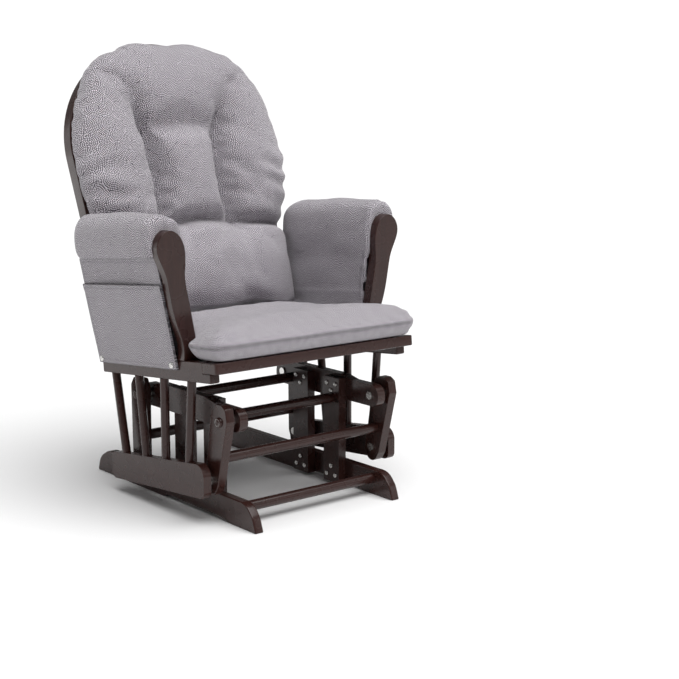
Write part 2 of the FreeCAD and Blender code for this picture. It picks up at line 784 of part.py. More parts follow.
def build_arms():
    """Stile, rear post, top rail, padded top and fabric panels of both arms."""
    runs = (
        ("arm_post", "arm_post", "arm_post_front", "arm_rail_rear"),
        ("arm_rail", "arm_rail", "arm_front", "arm_rail_rear"),
        ("arm_pad", "pad", "arm_front", "pad_rear"),
        ("arm_outer_skirt", "outer_skirt", "arm_front", "skirt_rear"),
        ("arm_inner_skirt", "inner_skirt", "arm_front", "inner_skirt_rear"),
    )
    behind_stile = size("stile_front") + size("stile_thick") + size("stile_clearance")
    stile_side = tool_block(
        "stile_side", FreeCAD.Vector(-REACH, -REACH, 0), FreeCAD.Vector(REACH, behind_stile, REACH))
    for name, side in SIDES.items():
        feature = doc.addObject("Part::Feature", f"arm_stile_{name}")
        feature.Shape = stile(side)
        finish(feature, f"arm_stile_{name}")
        for piece, outline, front, rear in runs:
            label = f"{piece}_{name}"
            finish(arm_board(label, side, outline, front, rear, stile_side), label)
    bolts = []
    for along in ("arm_bolt_front", "arm_bolt_rear"):
        depth, height = seat_point(size(along), size("arm_bolt_height"))
        bolts += mirror_pair(across_cylinder(
            size("arm_bolt_radius"), size("arm_bolt_x"), size("arm_bolt_thick"), depth, height))
    compound("arm_bolts", bolts)


def build_cushions():
    """Seat cushion with ears in front of the arms, and the back cushion."""
    seat = profile_body("seat_cushion", "seat_cushion", "XY_Plane", "sizes.seat_cushion_thick")
    seat_box(seat, 0.0, 0.0, size("seat_cushion_bottom"))
    finish(seat, "seat_cushion")
    front_view = profile_body("back_front_view", "back_front_view", "XZ_Plane", "sizes.back_cushion_thick")
    side_view = profile_body("back_side_view", "back_side_view", "YZ_Plane", "3 * sizes.hoop_radius")
    forward = size("hoop_depth") / 2 + size("back_cushion_gap")
    front_view.Placement = back_placement(forward=forward)
    side_view.Placement = back_placement(across=-1.5 * size("hoop_radius"), forward=forward)
    doc.recompute()
    crown = doc.addObject("Part::Common", "back_crown")
    crown.Base = front_view
    crown.Tool = side_view
    doc.recompute()
    seat_top = size("seat_cushion_bottom") + size("seat_cushion_thick") + size("cushion_gap")
    below_seat_top = tool_block(
        "below_seat_top", FreeCAD.Vector(-REACH, -REACH, -REACH), FreeCAD.Vector(REACH, REACH, 0))
    below_seat_top.Placement = seat_placement(0.0, 0.0, seat_top).multiply(below_seat_top.Placement)
    doc.recompute()
    finish(cut("back_cushion", crown, below_seat_top), "back_cushion")


def write_files():
    """Check every object and write one file per finished piece."""
    for item in doc.Objects:
        if {"Invalid", "Error"} & set(item.State):
            raise RuntimeError(f"{item.Label}: {item.State}")
    for item in finished:
        shape = item.Shape
        if shape.isNull() or not shape.isValid() or shape.Volume <= 0:
            raise RuntimeError(f"{item.Label}: bad shape")
        shape.exportStep(f"parts/{item.Label}.step")
        solid = shape.BoundBox
        print(
            f"{item.Label:22s} {len(shape.Solids):3d} solids {shape.Volume / 1000:9.1f} cm3 "
            f"x {solid.XMin:7.1f} {solid.XMax:7.1f} y {solid.YMin:7.1f} {solid.YMax:7.1f} "
            f"z {solid.ZMin:7.1f} {solid.ZMax:7.1f}")
    print(len(finished), "pieces")


fill_sheet()
build_base()
build_swings()
build_pivots()
build_glide_sides()
build_seat()
build_back()
build_arms()
build_cushions()
doc.recompute()
write_files()
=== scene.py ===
"""Visual model of a glider nursery chair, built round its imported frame.

The wooden and steel pieces of the frame stay as they are and get rounded edges and finishes.  Each padded
piece is made here: a closed form worked out with numpy, filled by a cloth simulation, then sewn and creased.
The hanging panels are grids with a cloth's thickness.
Everything is in metres.  -Y is the front of the chair, +Z is up and +X is to the right of a person who
faces it.
"""

import json
import logging
import math
from dataclasses import dataclass, field
from enum import Enum
from typing import Callable, Sequence

import bpy
import numpy as np
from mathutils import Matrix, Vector


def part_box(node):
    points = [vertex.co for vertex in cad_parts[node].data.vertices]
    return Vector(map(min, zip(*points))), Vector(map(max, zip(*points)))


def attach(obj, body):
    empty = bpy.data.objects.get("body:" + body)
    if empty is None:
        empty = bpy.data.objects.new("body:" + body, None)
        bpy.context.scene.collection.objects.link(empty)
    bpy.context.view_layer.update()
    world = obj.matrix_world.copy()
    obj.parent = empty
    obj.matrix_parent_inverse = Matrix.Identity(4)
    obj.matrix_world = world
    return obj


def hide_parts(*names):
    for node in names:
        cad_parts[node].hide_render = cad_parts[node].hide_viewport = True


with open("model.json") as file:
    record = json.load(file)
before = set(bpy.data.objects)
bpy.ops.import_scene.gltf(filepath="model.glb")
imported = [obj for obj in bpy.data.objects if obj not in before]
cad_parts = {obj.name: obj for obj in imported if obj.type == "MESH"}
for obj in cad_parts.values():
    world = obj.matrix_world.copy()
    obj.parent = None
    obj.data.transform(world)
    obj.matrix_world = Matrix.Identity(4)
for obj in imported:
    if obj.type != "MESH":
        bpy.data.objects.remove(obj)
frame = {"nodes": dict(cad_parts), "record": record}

log = logging.getLogger("glider_chair")
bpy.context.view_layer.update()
SEAT_BODY = "glide_frame"
SIM_FRAMES = 20
INNER_PRESSURE = 4.0
CLOTH_STIFFNESS = 12
SEAT_TILT = 5.6
BACK_TILT = 18.0
CLOTH_WALL = 0.0022
TURN = 2 * math.pi


class Side(Enum):
    """The two sides of the chair, as a person facing it sees them."""

    LEFT = -1
    RIGHT = 1

    @property
    def word(self) -> str:
        """Lower-case name used in node names."""
        return self.name.lower()


class Grain(Enum):
    """Direction that the wood's grain runs in."""

    ACROSS = "x"
    LENGTHWAYS = "y"
    UPRIGHT = "z"


# ---------------------------------------------------------------------------------------------- geometry


@dataclass(frozen=True)
class TiltedFrame:
    """A level drawing turned back about the X axis.

    Attributes:
        depth: Y of the drawing's origin in the chair.
        height: Z of the drawing's origin in the chair.
        tilt: Angle of the turn in degrees.
    """

    depth: float
    height: float
    tilt: float

    def to_chair(self, across: np.ndarray, along: np.ndarray, up: np.ndarray) -> np.ndarray:
        """Turn drawing coordinates into chair coordinates.

        Args:
            across: Sideways positions.
            along: Positions backwards in the drawing.
            up: Heights in the drawing.

        Returns:
            Array of points, one row each.
        """
        c, s = math.cos(math.radians(self.tilt)), math.sin(math.radians(self.tilt))
        across, along, up = np.broadcast_arrays(across, along, up)
        points = [across, self.depth + along * c + up * s, self.height - along * s + up * c]
        return np.stack(points, axis=-1)

    def to_drawing(self, points: np.ndarray) -> np.ndarray:
        """Turn chair coordinates back into (across, along, up)."""
        c, s = math.cos(math.radians(self.tilt)), math.sin(math.radians(self.tilt))
        y, z = points[..., 1] - self.depth, points[..., 2] - self.height
        return np.stack([points[..., 0], y * c - z * s, y * s + z * c], axis=-1)


def seat_frame() -> TiltedFrame:
    """Frame of the seat, from the box of a side rail, whose top corner stands 45 mm up and 27 mm back."""
    low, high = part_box("side_rail_left")
    c, s = math.cos(math.radians(SEAT_TILT)), math.sin(math.radians(SEAT_TILT))
    return TiltedFrame(low.y, high.z - 0.045 * c + 0.027 * s, SEAT_TILT)


def back_frame() -> TiltedFrame:
    """Frame of the reclined back, from the box of the hoop, which is 36 mm deep."""
    low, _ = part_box("back_hoop")
    c, s = math.cos(math.radians(BACK_TILT)), math.sin(math.radians(BACK_TILT))
    return TiltedFrame(low.y + 0.018 * c, low.z + 0.018 * s, BACK_TILT)


def smooth_loop(corners: Sequence[tuple], count: int) -> np.ndarray:
    """Closed quadratic B-spline with the corners as its control polygon, spaced evenly by length.

    Each stretch joins the middles of two sides and bends towards the corner between them:
    p = (1-t)^2 a + 2 t (1-t) b + t^2 c.

    Args:
        corners: Control points of two numbers each.
        count: Number of points wanted.

    Returns:
        Array of count points.
    """
    corners = np.asarray(corners, float)
    before = (corners + np.roll(corners, 1, axis=0)) / 2
    after = (corners + np.roll(corners, -1, axis=0)) / 2
    t = np.linspace(0, 1, 40, endpoint=False)[None, :, None]
    dense = (1 - t) ** 2 * before[:, None] + 2 * t * (1 - t) * corners[:, None] + t ** 2 * after[:, None]
    dense = dense.reshape(-1, 2)
    return even_loop(dense, count)


def even_loop(dense: np.ndarray, count: int) -> np.ndarray:
    """Points of a closed polyline spaced evenly by length."""
    closed = np.vstack([dense, dense[:1]])
    length = np.concatenate([[0], np.cumsum(np.linalg.norm(np.diff(closed, axis=0), axis=1))])
    wanted = np.linspace(0, length[-1], count, endpoint=False)
    return np.stack([np.interp(wanted, length, closed[:, k]) for k in range(closed.shape[1])], axis=-1)


def fade(value: np.ndarray, low: float, high: float) -> np.ndarray:
    """Smooth step from 0 at low to 1 at high: 3t^2 - 2t^3."""
    t = np.clip((value - low) / (high - low), 0, 1)
    return t * t * (3 - 2 * t)


def valley(distance: np.ndarray, width: float) -> np.ndarray:
    """Bell curve of a distance, 1 on the line and about 0.37 one width away."""
    return np.exp(-((distance / width) ** 2))


def ripple(points: np.ndarray, wavelength: float, seed: int) -> np.ndarray:
    """Smooth irregular ripple of about unit height: seven sine waves in seeded directions, added up."""
    rng = np.random.default_rng(seed)
    directions = rng.normal(size=(7, 3))
    directions /= np.linalg.norm(directions, axis=1)[:, None]
    stretch = rng.uniform(0.7, 1.5, 7)
    phase = rng.uniform(0, TURN, 7)
    waves = np.sin(points @ directions.T * stretch * (TURN / wavelength) + phase)
    return waves.sum(axis=1) / 3.0


def line_distance(x: np.ndarray, y: np.ndarray, path: Sequence[tuple]) -> tuple:
    """Distance from points to a polyline, and how far along it the nearest place is.

    Args:
        x: First coordinates of the points.
        y: Second coordinates of the points.
        path: Points of the polyline.

    Returns:
        Two arrays: the distances, and the lengths along the polyline.
    """
    path = np.asarray(path, float)
    best, along = np.full(x.shape, 1e9), np.zeros(x.shape)
    travelled = 0.0
    for start, end in zip(path[:-1], path[1:]):
        step = end - start
        size = float(np.hypot(*step))
        t = np.clip(((x - start[0]) * step[0] + (y - start[1]) * step[1]) / size ** 2, 0, 1)
        gap = np.hypot(x - start[0] - t * step[0], y - start[1] - t * step[1])
        closer = gap < best
        best = np.where(closer, gap, best)
        along = np.where(closer, travelled + t * size, along)
        travelled += size
    return best, along


# ---------------------------------------------------------------------------------------------- meshes


def ring_faces(rings: int, count: int) -> np.ndarray:
    """Four-sided faces between neighbouring closed rings of count points each."""
    row, col = np.meshgrid(np.arange(rings - 1), np.arange(count), indexing="ij")
    nxt = (col + 1) % count
    quads = [row * count + col, row * count + nxt, (row + 1) * count + nxt, (row + 1) * count + col]
    return np.stack(quads, axis=-1).reshape(-1, 4)


def make_piece(name: str, vertices: np.ndarray, faces: list, outward: bool = True) -> bpy.types.Object:
    """Make a smooth-shaded mesh object at the origin.

    Args:
        name: Object name.
        vertices: Points, one row each.
        faces: Lists of point numbers.
        outward: Whether to turn all the faces outwards.

    Returns:
        The new object, linked to the scene.
    """
    mesh = bpy.data.meshes.new(name)
    mesh.from_pydata(vertices.tolist(), [], faces)
    mesh.validate()
    if outward:
        a, b, c = triangle_corners(mesh)
        if np.einsum("ij,ij->", a, np.cross(b, c)) < 0:
            mesh.flip_normals()
    mesh.shade_smooth()
    piece = bpy.data.objects.new(name, mesh)
    bpy.context.scene.collection.objects.link(piece)
    return piece


def triangle_corners(mesh: bpy.types.Mesh) -> tuple:
    """The three corner arrays of a mesh's triangles."""
    mesh.calc_loop_triangles()
    index = np.empty(len(mesh.loop_triangles) * 3, np.int32)
    mesh.loop_triangles.foreach_get("vertices", index)
    points = read_points(mesh)[index.reshape(-1, 3)]
    return points[:, 0], points[:, 1], points[:, 2]


def closed_loft(name: str, rings: np.ndarray) -> bpy.types.Object:
    """Closed surface through a stack of closed rings, with a point in the middle of each end ring.

    Args:
        name: Object name.
        rings: Array of shape (rings, points in a ring, 3).

    Returns:
        The new object.
    """
    count, around = rings.shape[:2]
    poles = rings[[0, -1]].mean(axis=1)
    vertices = np.vstack([rings.reshape(-1, 3), poles])
    faces = ring_faces(count, around).tolist()
    first, last = count * around, count * around + 1
    base = (count - 1) * around
    faces += [[first, (k + 1) % around, k] for k in range(around)]
    faces += [[last, base + k, base + (k + 1) % around] for k in range(around)]
    return make_piece(name, vertices, faces)


def read_points(mesh: bpy.types.Mesh) -> np.ndarray:
    """Vertex positions of a mesh."""
    flat = np.empty(len(mesh.vertices) * 3, np.float32)
    mesh.vertices.foreach_get("co", flat)
    return flat.reshape(-1, 3).astype(float)


def write_points(mesh: bpy.types.Mesh, points: np.ndarray) -> None:
    """Set the vertex positions of a mesh."""
    mesh.vertices.foreach_set("co", points.astype(np.float32).ravel())
    mesh.update()


def read_normals(mesh: bpy.types.Mesh) -> np.ndarray:
    """Vertex normals of a mesh."""
    flat = np.empty(len(mesh.vertices) * 3, np.float32)
    mesh.vertex_normals.foreach_get("vector", flat)
    return flat.reshape(-1, 3).astype(float)


def relax(mesh: bpy.types.Mesh, values: np.ndarray, rounds: int) -> np.ndarray:
    """Average a value per point with its neighbours' values, a number of times."""
    edges = np.empty(len(mesh.edges) * 2, np.int32)
    mesh.edges.foreach_get("vertices", edges)
    edges = edges.reshape(-1, 2)
    degree = np.bincount(edges.ravel(), minlength=len(values)).astype(float)
    for _ in range(rounds):
        total = np.zeros_like(values)
        np.add.at(total, edges[:, 0], values[edges[:, 1]])
        np.add.at(total, edges[:, 1], values[edges[:, 0]])
        values = 0.5 * values + 0.5 * total / degree[:, None]
    return values


def remesh(piece: bpy.types.Object, voxel: float) -> None:
    """Replace a piece's mesh with an even voxel mesh of the same form."""
    modifier = piece.modifiers.new("even", "REMESH")
    modifier.mode = "VOXEL"
    modifier.voxel_size = voxel
    graph = bpy.context.evaluated_depsgraph_get()
    mesh = bpy.data.meshes.new_from_object(piece.evaluated_get(graph))
    piece.modifiers.remove(modifier)
    piece.data = mesh
    mesh.name = piece.name
    mesh.shade_smooth()


def surface_map(piece: bpy.types.Object, tilt: float) -> None:
    """Give a piece a UV map in metres by projecting each face along the axis it faces most.

    Args:
        piece: Object to map.
        tilt: Turn of the piece about the X axis in degrees, so that the map follows the piece.
    """
    mesh = piece.data
    c, s = math.cos(math.radians(tilt)), math.sin(math.radians(tilt))
    points = read_points(mesh)

    def level(rows: np.ndarray) -> np.ndarray:
        """Turn rows of three numbers back to level about the X axis."""
        x, y, z = rows.T
        return np.stack([x, y * c - z * s, y * s + z * c], axis=1)

    turned = level(points)
    normals = np.empty(len(mesh.polygons) * 3, np.float32)
    mesh.polygons.foreach_get("normal", normals)
    axis = np.abs(level(normals.reshape(-1, 3))).argmax(axis=1)
    sizes = np.empty(len(mesh.polygons), np.int32)
    mesh.polygons.foreach_get("loop_total", sizes)
    axis = np.repeat(axis, sizes)
    corners = np.empty(len(mesh.loops), np.int32)
    mesh.loops.foreach_get("vertex_index", corners)
    place = turned[corners]
    first = np.where(axis == 0, place[:, 1], place[:, 0])
    second = np.where(axis == 2, place[:, 1], place[:, 2])
    layer = mesh.uv_layers.get("cloth") or mesh.uv_layers.new(name="cloth")
    layer.data.foreach_set("uv", np.stack([first, second], 1).astype(np.float32).ravel())


def paint_seam_shade(piece: bpy.types.Object, amount: np.ndarray) -> None:
    """Store on each point how near it lies to a sewn line, from 0 to 1; the cloth's colour is darkened there
    as painted shade.
    """
    layer = piece.data.attributes.new("seam_shade", "FLOAT", "POINT")
    layer.data.foreach_set("value", amount.astype(np.float32))


def fill_out(
    piece: bpy.types.Object,
    voxel: float,
    reach: float,
    held: Callable[[np.ndarray], np.ndarray],
    slack: float = 0.0,
) -> None:
    """Fill a closed form by a cloth simulation with inner pressure and no gravity.

    Args:
        piece: Closed form, a little smaller than the filled one.
        voxel: Edge length of the even mesh.
        reach: How far a point may move.
        held: Function of the points that says how firmly each is sewn down, from 0 to 1.
        slack: Share by which the cover is larger than the form.
    """
    remesh(piece, voxel)
    mesh = piece.data
    start = read_points(mesh)
    firmness = held(start)
    group = piece.vertex_groups.new(name="sewn")
    for level in np.unique(np.round(firmness, 1)):
        members = np.flatnonzero(np.round(firmness, 1) == level)
        group.add(members.tolist(), float(level), "REPLACE")
    cloth = piece.modifiers.new("filling", "CLOTH")
    cloth.settings.quality = 4
    cloth.settings.mass = 0.3
    cloth.settings.tension_stiffness = CLOTH_STIFFNESS
    cloth.settings.compression_stiffness = CLOTH_STIFFNESS
    cloth.settings.bending_stiffness = 0.6
    cloth.settings.use_pressure = True
    cloth.settings.uniform_pressure_force = INNER_PRESSURE
    cloth.settings.shrink_min = -slack
    cloth.settings.vertex_group_mass = group.name
    cloth.settings.pin_stiffness = 1.0
    cloth.settings.effector_weights.gravity = 0.0
    cloth.collision_settings.use_collision = False
    cloth.collision_settings.use_self_collision = False
    scene = bpy.context.scene
    for number in range(1, SIM_FRAMES + 1):
        scene.frame_set(number)
    graph = bpy.context.evaluated_depsgraph_get()
    end = read_points(piece.evaluated_get(graph).data)
    piece.modifiers.remove(cloth)
    piece.vertex_groups.remove(group)
    scene.frame_set(1)
    move = end - start
    size = np.linalg.norm(move, axis=1, keepdims=True)
    limited = move * (reach * np.tanh(size / reach) / np.maximum(size, 1e-9))
    write_points(mesh, start + relax(mesh, limited, 2))


def round_off(piece: bpy.types.Object) -> None:
    """Add one live subdivision, the same in view and render."""
    modifier = piece.modifiers.new("fine", "SUBSURF")
    modifier.levels = 1
    modifier.render_levels = 1


# ---------------------------------------------------------------------------------------------- finishes


class NodeBoard:
    """A material's node tree with short ways to add and join nodes."""

    def __init__(self, name: str) -> None:
        """Make an empty node material with a surface shader.

        Args:
            name: Material name.
        """
        self.material = bpy.data.materials.new(name)
        self.material.use_nodes = True
        self.tree = self.material.node_tree
        self.tree.nodes.clear()
        self.shader = self.add("ShaderNodeBsdfPrincipled")
        output = self.add("ShaderNodeOutputMaterial")
        self.join(self.shader.outputs["BSDF"], output.inputs["Surface"])

    def add(self, kind: str, **settings: object) -> bpy.types.Node:
        """Add a node of a kind and set its own properties."""
        node = self.tree.nodes.new(kind)
        for key, value in settings.items():
            setattr(node, key, value)
        return node

    def join(self, source: bpy.types.NodeSocket, target: bpy.types.NodeSocket) -> None:
        """Link an output to an input."""
        self.tree.links.new(source, target)

    def math(self, operation: str, *values: object) -> bpy.types.NodeSocket:
        """Math node on sockets or plain numbers.

        Args:
            operation: Name of the operation.
            values: Inputs in order.

        Returns:
            The result socket.
        """
        node = self.add("ShaderNodeMath", operation=operation)
        for slot, value in zip(node.inputs, values):
            if isinstance(value, bpy.types.NodeSocket):
                self.join(value, slot)
            else:
                slot.default_value = value
        return node.outputs[0]

    def spread(self, value: bpy.types.NodeSocket, low: float, high: float, to_low: float, to_high: float,
               smooth: bool = False) -> bpy.types.NodeSocket:
        """Map a value from one range to another."""
        node = self.add("ShaderNodeMapRange", interpolation_type="SMOOTHSTEP" if smooth else "LINEAR")
        self.join(value, node.inputs["Value"])
        for key, number in (("From Min", low), ("From Max", high), ("To Min", to_low), ("To Max", to_high)):
            node.inputs[key].default_value = number
        return node.outputs["Result"]

    def blend(self, share: bpy.types.NodeSocket, first: tuple, second: tuple) -> bpy.types.NodeSocket:
        """Colour between two colours by a share from 0 to 1."""
        node = self.add("ShaderNodeMix", data_type="RGBA")
        self.join(share, node.inputs["Factor"])
        for slot, colour in ((node.inputs[6], first), (node.inputs[7], second)):
            if isinstance(colour, bpy.types.NodeSocket):
                self.join(colour, slot)
            else:
                slot.default_value = (*colour, 1.0)
        return node.outputs[2]

    def noise(self, vector: bpy.types.NodeSocket, scale: float, detail: float = 2.0,
              roughness: float = 0.5) -> bpy.types.NodeSocket:
        """Noise of about 0 to 1 at a number of lumps per metre."""
        node = self.add("ShaderNodeTexNoise")
        self.join(vector, node.inputs["Vector"])
        node.inputs["Scale"].default_value = scale
        node.inputs["Detail"].default_value = detail
        node.inputs["Roughness"].default_value = roughness
        return node.outputs["Fac"]

    def bump(self, height: bpy.types.NodeSocket, depth: float, strength: float = 1.0) -> None:
        """Raise the surface by a height from 0 to 1 times a depth in metres."""
        node = self.add("ShaderNodeBump")
        node.inputs["Strength"].default_value = strength
        node.inputs["Distance"].default_value = depth
        self.join(height, node.inputs["Height"])
        self.join(node.outputs["Normal"], self.shader.inputs["Normal"])

    def set(self, **values: object) -> None:
        """Set plain values on the shader's own sockets, with underscores for the spaces in their names."""
        for key, value in values.items():
            self.shader.inputs[key.replace("_", " ")].default_value = value


@dataclass(frozen=True)
class DottedFabric:
    """Cover cloth with pale dots in whorls of arcs on a dark plum ground.

    Attributes:
        name: Material name.
        pitch: Distance from dot to dot.
        whorl: Size of a whorl of arcs.
        ground: Colour between the dots.
        dot: Colour of the dots.
    """

    name: str = "dotted_fabric"
    pitch: float = 0.0036
    whorl: float = 0.034
    ground: tuple = (0.052, 0.043, 0.055)
    dot: tuple = (0.97, 0.92, 0.98)

    def material(self) -> bpy.types.Material:
        """Build the cloth.

        The nearest whorl centre gives each spot a radius and an angle.  The radius is cut into rings one
        pitch wide and each ring into equal arcs one pitch long, with a round dot in the middle of each.
        """
        board = NodeBoard(self.name)
        uv = board.add("ShaderNodeUVMap", uv_map="cloth").outputs["UV"]
        drift = board.add("ShaderNodeTexNoise")
        board.join(uv, drift.inputs["Vector"])
        drift.inputs["Scale"].default_value = 40.0
        drift.inputs["Detail"].default_value = 1.0
        shift = board.add("ShaderNodeVectorMath", operation="MULTIPLY_ADD")
        board.join(drift.outputs["Color"], shift.inputs[0])
        shift.inputs[1].default_value = (0.006, 0.006, 0.0)
        board.join(uv, shift.inputs[2])
        cells = board.add("ShaderNodeTexVoronoi", voronoi_dimensions="2D")
        cells.inputs["Scale"].default_value = 1.0 / self.whorl
        board.join(shift.outputs["Vector"], cells.inputs["Vector"])
        away = board.add("ShaderNodeVectorMath", operation="SUBTRACT")
        board.join(shift.outputs["Vector"], away.inputs[0])
        board.join(cells.outputs["Position"], away.inputs[1])
        split = board.add("ShaderNodeSeparateXYZ")
        board.join(away.outputs["Vector"], split.inputs[0])
        x, y = split.outputs["X"], split.outputs["Y"]
        squares = board.math("ADD", board.math("MULTIPLY", x, x), board.math("MULTIPLY", y, y))
        radius = board.math("SQRT", squares)
        steps = board.math("DIVIDE", radius, self.pitch)
        ring = board.math("FLOOR", steps)
        across = board.math("SUBTRACT", board.math("FRACT", steps), 0.5)
        middle = board.math("ADD", ring, 0.5)
        count = board.math("ROUND", board.math("MULTIPLY", middle, TURN))
        angle = board.math("DIVIDE", board.math("ARCTAN2", y, x), TURN)
        turned = board.math("ADD", board.math("MULTIPLY", angle, count), board.math("MULTIPLY", ring, 0.5))
        along = board.math("SUBTRACT", board.math("FRACT", turned), 0.5)
        squares = board.math(
            "ADD", board.math("MULTIPLY", across, across), board.math("MULTIPLY", along, along)
        )
        dots = board.spread(board.math("SQRT", squares), 0.26, 0.42, 1.0, 0.0, smooth=True)
        wear = board.spread(board.noise(uv, 190.0, 2.0), 0.3, 0.7, 0.0, 1.0)
        darker, lighter = (tuple(v * share for v in self.ground) for share in (0.85, 1.15))
        ground = board.blend(wear, darker, lighter)
        dot = board.blend(wear, tuple(v * 0.72 for v in self.dot), self.dot)
        # Painted shade: along sewn lines, creases and hems the cloth's colour is drawn towards a darker plum
        # by the per-point seam shade value.
        seam_shade = board.add("ShaderNodeAttribute", attribute_name="seam_shade").outputs["Fac"]
        shade = board.math("MULTIPLY", seam_shade, 0.6)
        cloth = board.blend(shade, board.blend(dots, ground, dot), tuple(v * 0.4 for v in self.ground))
        board.join(cloth, board.shader.inputs["Base Color"])
        board.join(board.spread(dots, 0.0, 1.0, 0.95, 0.75), board.shader.inputs["Roughness"])
        board.bump(dots, 0.0003, 0.6)
        board.set(Sheen_Weight=0.25, Sheen_Roughness=0.6, Specular_IOR_Level=0.2)
        return board.material


@dataclass(frozen=True)
class DarkWood:
    """Espresso-stained wood under satin lacquer.

    Attributes:
        grain: Direction of the grain.
        dark: Colour in the grain lines.
        light: Colour between them.
        fine: Grain lines per metre across the board.
    """

    grain: Grain
    dark: tuple = (0.026, 0.0090, 0.0072)
    light: tuple = (0.037, 0.0132, 0.0105)
    fine: float = 420.0

    def material(self) -> bpy.types.Material:
        """Build the wood: noise drawn out along the grain gives the lines, the sheen and a slight relief."""
        board = NodeBoard(f"dark_wood_{self.grain.name.lower()}")
        place = board.add("ShaderNodeTexCoord").outputs["Object"]
        stretch = board.add("ShaderNodeMapping")
        scale = tuple(0.05 if axis == self.grain.value else 1.0 for axis in "xyz")
        stretch.inputs["Scale"].default_value = scale
        board.join(place, stretch.inputs["Vector"])
        drawn = stretch.outputs["Vector"]
        lines = board.noise(drawn, self.fine, 3.0, 0.6)
        bands = board.noise(drawn, self.fine / 9, 2.0, 0.5)
        grain = board.math("ADD", board.math("MULTIPLY", lines, 0.55), board.math("MULTIPLY", bands, 0.45))
        share = board.spread(grain, 0.36, 0.64, 0.0, 1.0, smooth=True)
        board.join(board.blend(share, self.dark, self.light), board.shader.inputs["Base Color"])
        patches = board.noise(place, 22.0, 2.0)
        board.join(board.spread(patches, 0.3, 0.7, 0.22, 0.32), board.shader.inputs["Roughness"])
        board.bump(grain, 0.00015, 0.3)
        board.set(Specular_IOR_Level=0.36, Coat_Weight=0.15, Coat_Roughness=0.12, Coat_IOR=1.45)
        return board.material


@dataclass(frozen=True)
class BrightSteel:
    """Polished zinc-plated steel of bolts, screws and spacers."""

    name: str = "bright_steel"
    colour: tuple = (0.74, 0.73, 0.71)

    def material(self) -> bpy.types.Material:
        """Build the metal with slight scuffs in its sheen."""
        board = NodeBoard(self.name)
        place = board.add("ShaderNodeTexCoord").outputs["Object"]
        scuffs = board.noise(place, 600.0, 3.0, 0.6)
        board.join(board.blend(scuffs, tuple(v * 0.85 for v in self.colour), self.colour),
                   board.shader.inputs["Base Color"])
        board.join(board.spread(scuffs, 0.3, 0.7, 0.16, 0.30), board.shader.inputs["Roughness"])
        board.bump(scuffs, 0.00005, 0.3)
        board.set(Metallic=1.0)
        return board.material


@dataclass(frozen=True)
class StudioFloor:
    """Plain pale floor."""

    colour: tuple = (0.93, 0.93, 0.93)

    def material(self) -> bpy.types.Material:
        """Build the floor with a faint mottling."""
        board = NodeBoard("studio_floor")
        place = board.add("ShaderNodeTexCoord").outputs["Object"]
        share = board.noise(place, 1.5, 2.0)
        board.join(board.blend(share, tuple(v * 0.99 for v in self.colour), self.colour),
                   board.shader.inputs["Base Color"])
        board.set(Roughness=0.9, Specular_IOR_Level=0.1)
        return board.material


def dress(piece: bpy.types.Object, material: bpy.types.Material) -> None:
    """Give a whole piece one material."""
    piece.data.materials.clear()
    piece.data.materials.append(material)


def dress_soft(piece: bpy.types.Object, cloth: bpy.types.Material) -> None:
    """Dress a soft piece in its cloth and let it ride with the seat."""
    dress(piece, cloth)
    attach(piece, SEAT_BODY)
    log.info("%s done", piece.name)


# ---------------------------------------------------------------------------------------------- woodwork


@dataclass
class Woodwork:
    """The frame's boards and bars: they keep their shape and get eased edges and lacquer.

    Attributes:
        ease: Radius of an eased board edge.
        bar_words: Words in the names of the round pieces, whose edges stay sharp.
    """

    ease: float = 0.0028
    bar_words: tuple = ("bar", "spindle")
    materials: dict = field(default_factory=dict)

    def grain_of(self, node: str) -> Grain:
        """Grain along the longest side of a node's box."""
        low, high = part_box(node)
        return list(Grain)[int(np.argmax(np.array(high) - np.array(low)))]

    def ease_edges(self, piece: bpy.types.Object) -> None:
        """Weld the loose triangles, dissolve flat ones, round the sharp edges and even out the shading."""
        weld = piece.modifiers.new("weld", "WELD")
        weld.merge_threshold = 0.00002
        flat = piece.modifiers.new("flat", "DECIMATE")
        flat.decimate_type = "DISSOLVE"
        flat.angle_limit = math.radians(1.0)
        bevel = piece.modifiers.new("eased", "BEVEL")
        bevel.width = self.ease
        bevel.segments = 3
        bevel.limit_method = "ANGLE"
        bevel.angle_limit = math.radians(35)
        bevel.use_clamp_overlap = True
        even = piece.modifiers.new("even", "WEIGHTED_NORMAL")
        even.keep_sharp = False
        piece.data.shade_smooth()

    def build(self) -> None:
        """Dress every wooden node of the frame."""
        slots = {row["node"]: row["material_slot"] for row in frame["record"]["subparts"]}
        for node, piece in frame["nodes"].items():
            if slots[node] != "dark_wood":
                continue
            grain = self.grain_of(node)
            if grain not in self.materials:
                self.materials[grain] = DarkWood(grain).material()
            dress(piece, self.materials[grain])
            if not any(word in node for word in self.bar_words):
                self.ease_edges(piece)
            log.info("lacquered %s", node)


# ---------------------------------------------------------------------------------------------- fasteners


